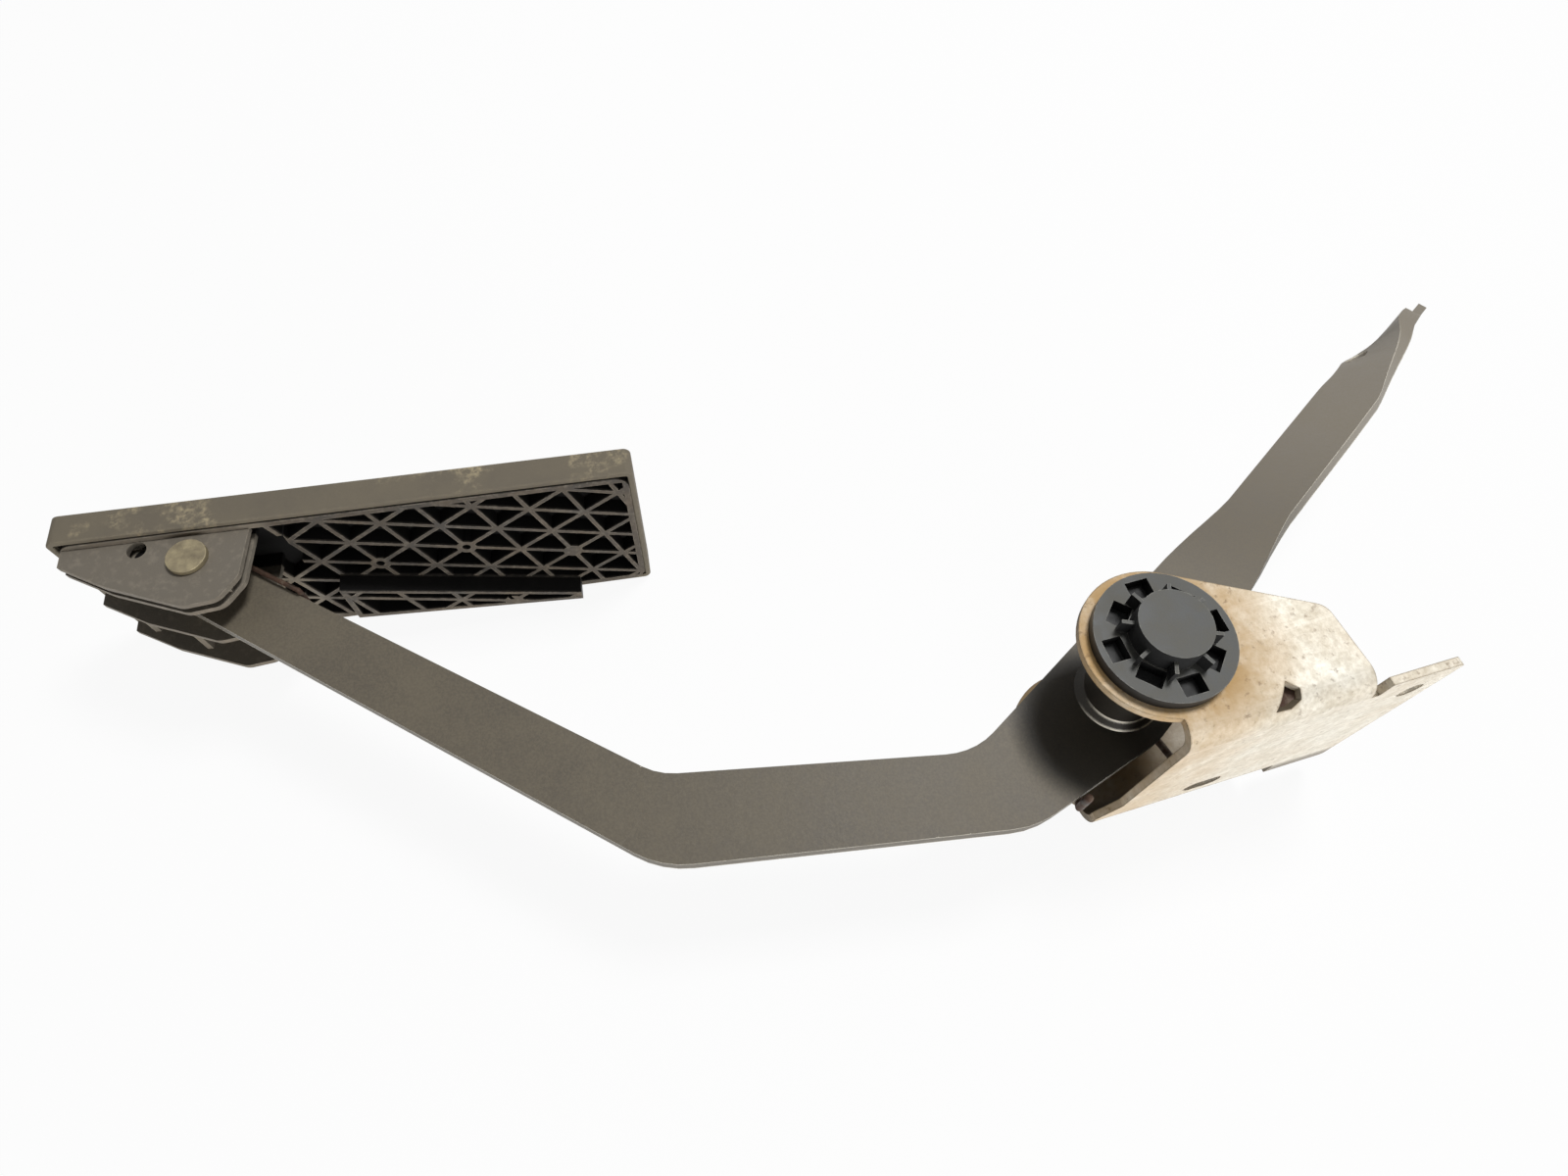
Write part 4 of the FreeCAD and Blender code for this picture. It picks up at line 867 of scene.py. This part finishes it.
def armOutline():
    v = armValues
    pivot = Vector(v["pivot"])

    def lever(along, across, radius):
        spot = leverSpot(along, 0, across, 0)
        return (spot.x, spot.z, radius)

    def fixed(x, z, radius=0):
        return (pivot.x + x, pivot.y + z, radius)

    middle = Vector(v["endCentre"])
    knee = Vector(v["lower"][-1][:2])
    end = Vector(v["endIn"])
    run = (end - knee).normalized()
    across = abs(run.x * (middle - end).y - run.y * (middle - end).x)
    meet = end + run * ((middle - end).dot(run) - math.sqrt(v["endRadius"] ** 2 - across ** 2)) - middle
    start = math.degrees(math.atan2(meet.y, meet.x))
    last = Vector(v["endOut"]) - middle
    finish = math.degrees(math.atan2(last.y, last.x)) % 360
    root, rootHalf = v["root"]
    neck, neckHalf = v["neck"]
    corners = [lever(neck, -neckHalf, 0), lever(root, -rootHalf, v["rootCurve"])]
    corners += [fixed(*spot) for spot in v["lower"]]
    corners += [fixed(p.x, p.y) for p in arcPoints(v["endCentre"], v["endRadius"], start, finish, v["endStep"])]
    corners += [fixed(*spot) for spot in v["upper"]]
    corners += [lever(root, rootHalf, v["rootCurve"]), lever(neck, neckHalf, 0)]
    return roundCorners(corners)


def cutEye(piece):
    v = armValues
    along, across = v["eye"]
    size = {"radius1": v["eyeRadius"], "radius2": v["eyeRadius"], "depth": v["eyeReach"]}
    form = bmesh.new()
    bmesh.ops.create_cone(form, cap_ends=True, segments=v["eyeSides"], **size)
    middle = leverSpot(along, v["eyeTurn"], across, 0)
    way = leverSpot(along, v["eyeTurn"], across, 1) - middle
    turned = Matrix.Translation(middle) @ way.to_track_quat("Z", "Y").to_matrix().to_4x4()
    bmesh.ops.transform(form, matrix=turned, verts=form.verts)
    cutWith(piece, form)


def buildArm():
    v = armValues
    form = bmesh.new()
    outline = armOutline()
    near = [form.verts.new((p.x, v["nearFace"], p.y)) for p in outline]
    far = [form.verts.new((p.x, v["nearFace"] + v["thick"], p.y)) for p in outline]
    form.faces.new(near)
    form.faces.new(far[::-1])
    for index in range(len(outline) - 1):
        form.faces.new((near[index], near[index + 1], far[index + 1], far[index]))
    ring = [near[0], near[-1], far[-1], far[0]]
    for along, turn, left, right, front, back in v["stations"]:
        corners = ((-left, -front), (right, -front), (right, back), (-left, back))
        following = [form.verts.new(leverSpot(along, turn, wide, deep)) for wide, deep in corners]
        joinLoops(form, ring, following)
        ring = following
    form.faces.new(ring)
    piece = newPiece("arm_strip", form, "arm", "black_paint", "pedal_arm")
    cutEye(piece)
    smoothFaces(piece)
    softenEdges(piece, v["softEdge"], v["softAngle"], v["softSteps"])


buildArm()
print("stage: arm built")


# Rubber cover around the pad, drawn in the pad's own frame with its length along Z

coverValues = {
    "base": (-160.1, 0.0, -352.8), "slope": 6.84, "length": 179.0, "near": -18.4, "far": 48.9,
    "front": -11.0, "floor": -8.0, "back": -0.6, "skirt": 1.9, "corner": 2.6, "innerCorner": 0.7,
    "grooveMargin": 8.0, "grooveWidth": 4.0, "groovePitch": 10.0, "grooveDepth": 1.4, "grooveCount": 16,
    "softEdge": 0.0005, "softAngle": 35.0, "softSteps": 3,
}


def padMatrix():
    v = coverValues
    return Matrix.Translation(v["base"]) @ Matrix.Rotation(math.radians(v["slope"]), 4, "Y")


def coverLoop(form, x, inset, corner):
    v = coverValues
    near, far, low, high = v["near"] + inset, v["far"] - inset, inset, v["length"] - inset
    corners = [(near, low, corner), (far, low, corner), (far, high, corner), (near, high, corner)]
    return [form.verts.new((x, p.x, p.y)) for p in roundCorners(corners)]


def cutGrooves(piece):
    v = coverValues
    form = bmesh.new()
    width = v["far"] - v["near"] - 2 * v["grooveMargin"]
    size = Matrix.Diagonal((2 * v["grooveDepth"], width, v["grooveWidth"], 1.0))
    for index in range(v["grooveCount"]):
        made = bmesh.ops.create_cube(form, size=1.0)["verts"]
        z = v["grooveMargin"] + v["grooveWidth"] / 2 + index * v["groovePitch"]
        place = Matrix.Translation((v["front"], (v["near"] + v["far"]) / 2, z))
        bmesh.ops.transform(form, matrix=place @ size, verts=made)
    bmesh.ops.transform(form, matrix=padMatrix(), verts=form.verts)
    cutWith(piece, form)


def buildCover():
    v = coverValues
    form = bmesh.new()
    loops = [
        coverLoop(form, v["front"], 0.0, v["corner"]), coverLoop(form, v["back"], 0.0, v["corner"]),
        coverLoop(form, v["back"], v["skirt"], v["innerCorner"]),
        coverLoop(form, v["floor"], v["skirt"], v["innerCorner"]),
    ]
    for first, second in zip(loops, loops[1:]):
        joinLoops(form, first, second)
    form.faces.new(loops[0])
    form.faces.new(loops[-1])
    bmesh.ops.transform(form, matrix=padMatrix(), verts=form.verts)
    piece = newPiece("cover_moulded", form, "pad", "pad_rubber", "pad_cover")
    cutGrooves(piece)
    smoothFaces(piece)
    softenEdges(piece, v["softEdge"], v["softAngle"], v["softSteps"])


buildCover()
print("stage: cover built")


# Springs, each listed with the two bodies that it joins and a span from one place in Y to another; each is a
# copy of its node's mesh, baked in place

springValues = {
    "return_spring": ("arm", "bracket", 8.5, 22.5),
    "pad_spring": ("pad", "arm", -7.5, -3.0),
}


def buildSpring(name):
    piece = bpy.data.objects.new(name + "_wound", nodes[name].data.copy())
    scene.collection.objects.link(piece)
    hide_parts(name)
    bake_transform(piece)


for name in springValues:
    buildSpring(name)


# White floor behind the part and white surroundings, which metal shows too

def newSurface(name):
    material = bpy.data.materials.new(name)
    material.use_nodes = True
    material.node_tree.nodes.clear()
    return material


def addSeen(tree):
    path = addNode(tree, "ShaderNodeLightPath", (-600, 300)).outputs
    seen = addMath(tree, (-300, 300), "MAXIMUM", path["Is Camera Ray"], path["Is Glossy Ray"])
    return path, addMath(tree, (-150, 300), "MAXIMUM", seen, path["Is Transmission Ray"])


floorValues = {"place": 0.0495, "half": 3.0, "colour": (0.86, 0.86, 0.86, 1.0), "glow": 0.93}


def buildFloor():
    v = floorValues
    mesh = bpy.data.meshes.new("floor")
    corners = [(x * v["half"], v["place"], z * v["half"]) for x, z in ((-1, -1), (1, -1), (1, 1), (-1, 1))]
    mesh.from_pydata(corners, [], [(0, 1, 2, 3)])
    floor = bpy.data.objects.new("floor", mesh)
    scene.collection.objects.link(floor)
    material = newSurface("paleFloor")
    tree = material.node_tree
    output = addNode(tree, "ShaderNodeOutputMaterial", (900, 0))
    matt = addNode(tree, "ShaderNodeBsdfDiffuse", (0, 100), Color=v["colour"])
    white = addNode(tree, "ShaderNodeEmission", (0, -100), Strength=1.0)
    clear = addNode(tree, "ShaderNodeBsdfTransparent", (0, -300))
    side = addNode(tree, "ShaderNodeNewGeometry", (-600, -200))
    path, seen = addSeen(tree)
    share = addMath(tree, (0, 300), "MULTIPLY", seen, v["glow"])
    lit = addNode(tree, "ShaderNodeMixShader", (300, 100))
    for index, value in enumerate((share, matt.outputs[0], white.outputs[0])):
        feed(tree, lit.inputs[index], value)
    away = addMath(tree, (300, 300), "MAXIMUM", side.outputs["Backfacing"], path["Is Shadow Ray"])
    both = addNode(tree, "ShaderNodeMixShader", (600, 0))
    for index, value in enumerate((away, lit.outputs[0], clear.outputs[0])):
        feed(tree, both.inputs[index], value)
    tree.links.new(both.outputs[0], output.inputs["Surface"])
    mesh.materials.append(material)


buildFloor()


# Soft studio light, places in metres and power in watts

lightValues = {
    "aim": (-0.05, 0.0, -0.10),
    "key": {"place": (-0.42, -1.47, 0.40), "size": 0.40, "power": 20.0},
    "low": {"place": (1.35, -0.10, -0.05), "size": 0.9, "power": 18.0},
    "high": {"place": (-1.10, -0.80, -0.35), "size": 1.0, "power": 1.6},
    "back": {"place": (-0.40, 1.30, 0.10), "size": 1.2, "power": 5.0},
    "ambient": 0.03,
}


def addLamp(name, values):
    lamp = bpy.data.lights.new(name, "AREA")
    lamp.shape = "SQUARE"
    lamp.size = values["size"]
    lamp.energy = values["power"]
    holder = bpy.data.objects.new(name, lamp)
    holder.location = values["place"]
    aim = Vector(lightValues["aim"]) - holder.location
    holder.rotation_mode = "QUATERNION"
    holder.rotation_quaternion = aim.to_track_quat("-Z", "Y")
    scene.collection.objects.link(holder)


def buildLight():
    for name in ("key", "low", "high", "back"):
        addLamp(name, lightValues[name])
    world = bpy.data.worlds.new("studio")
    scene.world = world
    world.use_nodes = True
    tree = world.node_tree
    tree.nodes.clear()
    output = addNode(tree, "ShaderNodeOutputWorld", (600, 0))
    seen = addSeen(tree)[1]
    strength = addMix(tree, (50, 0), seen, lightValues["ambient"], 1.0)
    ground = addNode(tree, "ShaderNodeBackground", (300, 0), Color=(1.0, 1.0, 1.0, 1.0), Strength=strength)
    tree.links.new(ground.outputs[0], output.inputs["Surface"])


buildLight()


# Camera at the photograph's viewing angle

cameraValues = {
    "place": (0.04594, -0.26591, -0.18888),
    "right": (0.29220, -0.03410, 0.95574),
    "down": (0.83869, 0.48938, -0.23895),
    "forward": (-0.45958, 0.87140, 0.17159),
    "focalPixels": 950.0, "imageWidth": 1600.0, "sensor": 36.0, "clip": 0.01,
}


def buildCamera():
    v = cameraValues
    lens = bpy.data.cameras.new("camera")
    lens.sensor_fit = "HORIZONTAL"
    lens.sensor_width = v["sensor"]
    lens.lens = v["focalPixels"] / v["imageWidth"] * v["sensor"]
    lens.clip_start = v["clip"]
    camera = bpy.data.objects.new("camera", lens)
    axes = Matrix((v["right"], [-n for n in v["down"]], [-n for n in v["forward"]])).transposed()
    camera.matrix_world = Matrix.Translation(v["place"]) @ axes.to_4x4()
    scene.collection.objects.link(camera)
    scene.camera = camera


buildCamera()
scene.view_settings.view_transform = "Standard"
print("stage: floor, light and camera built")
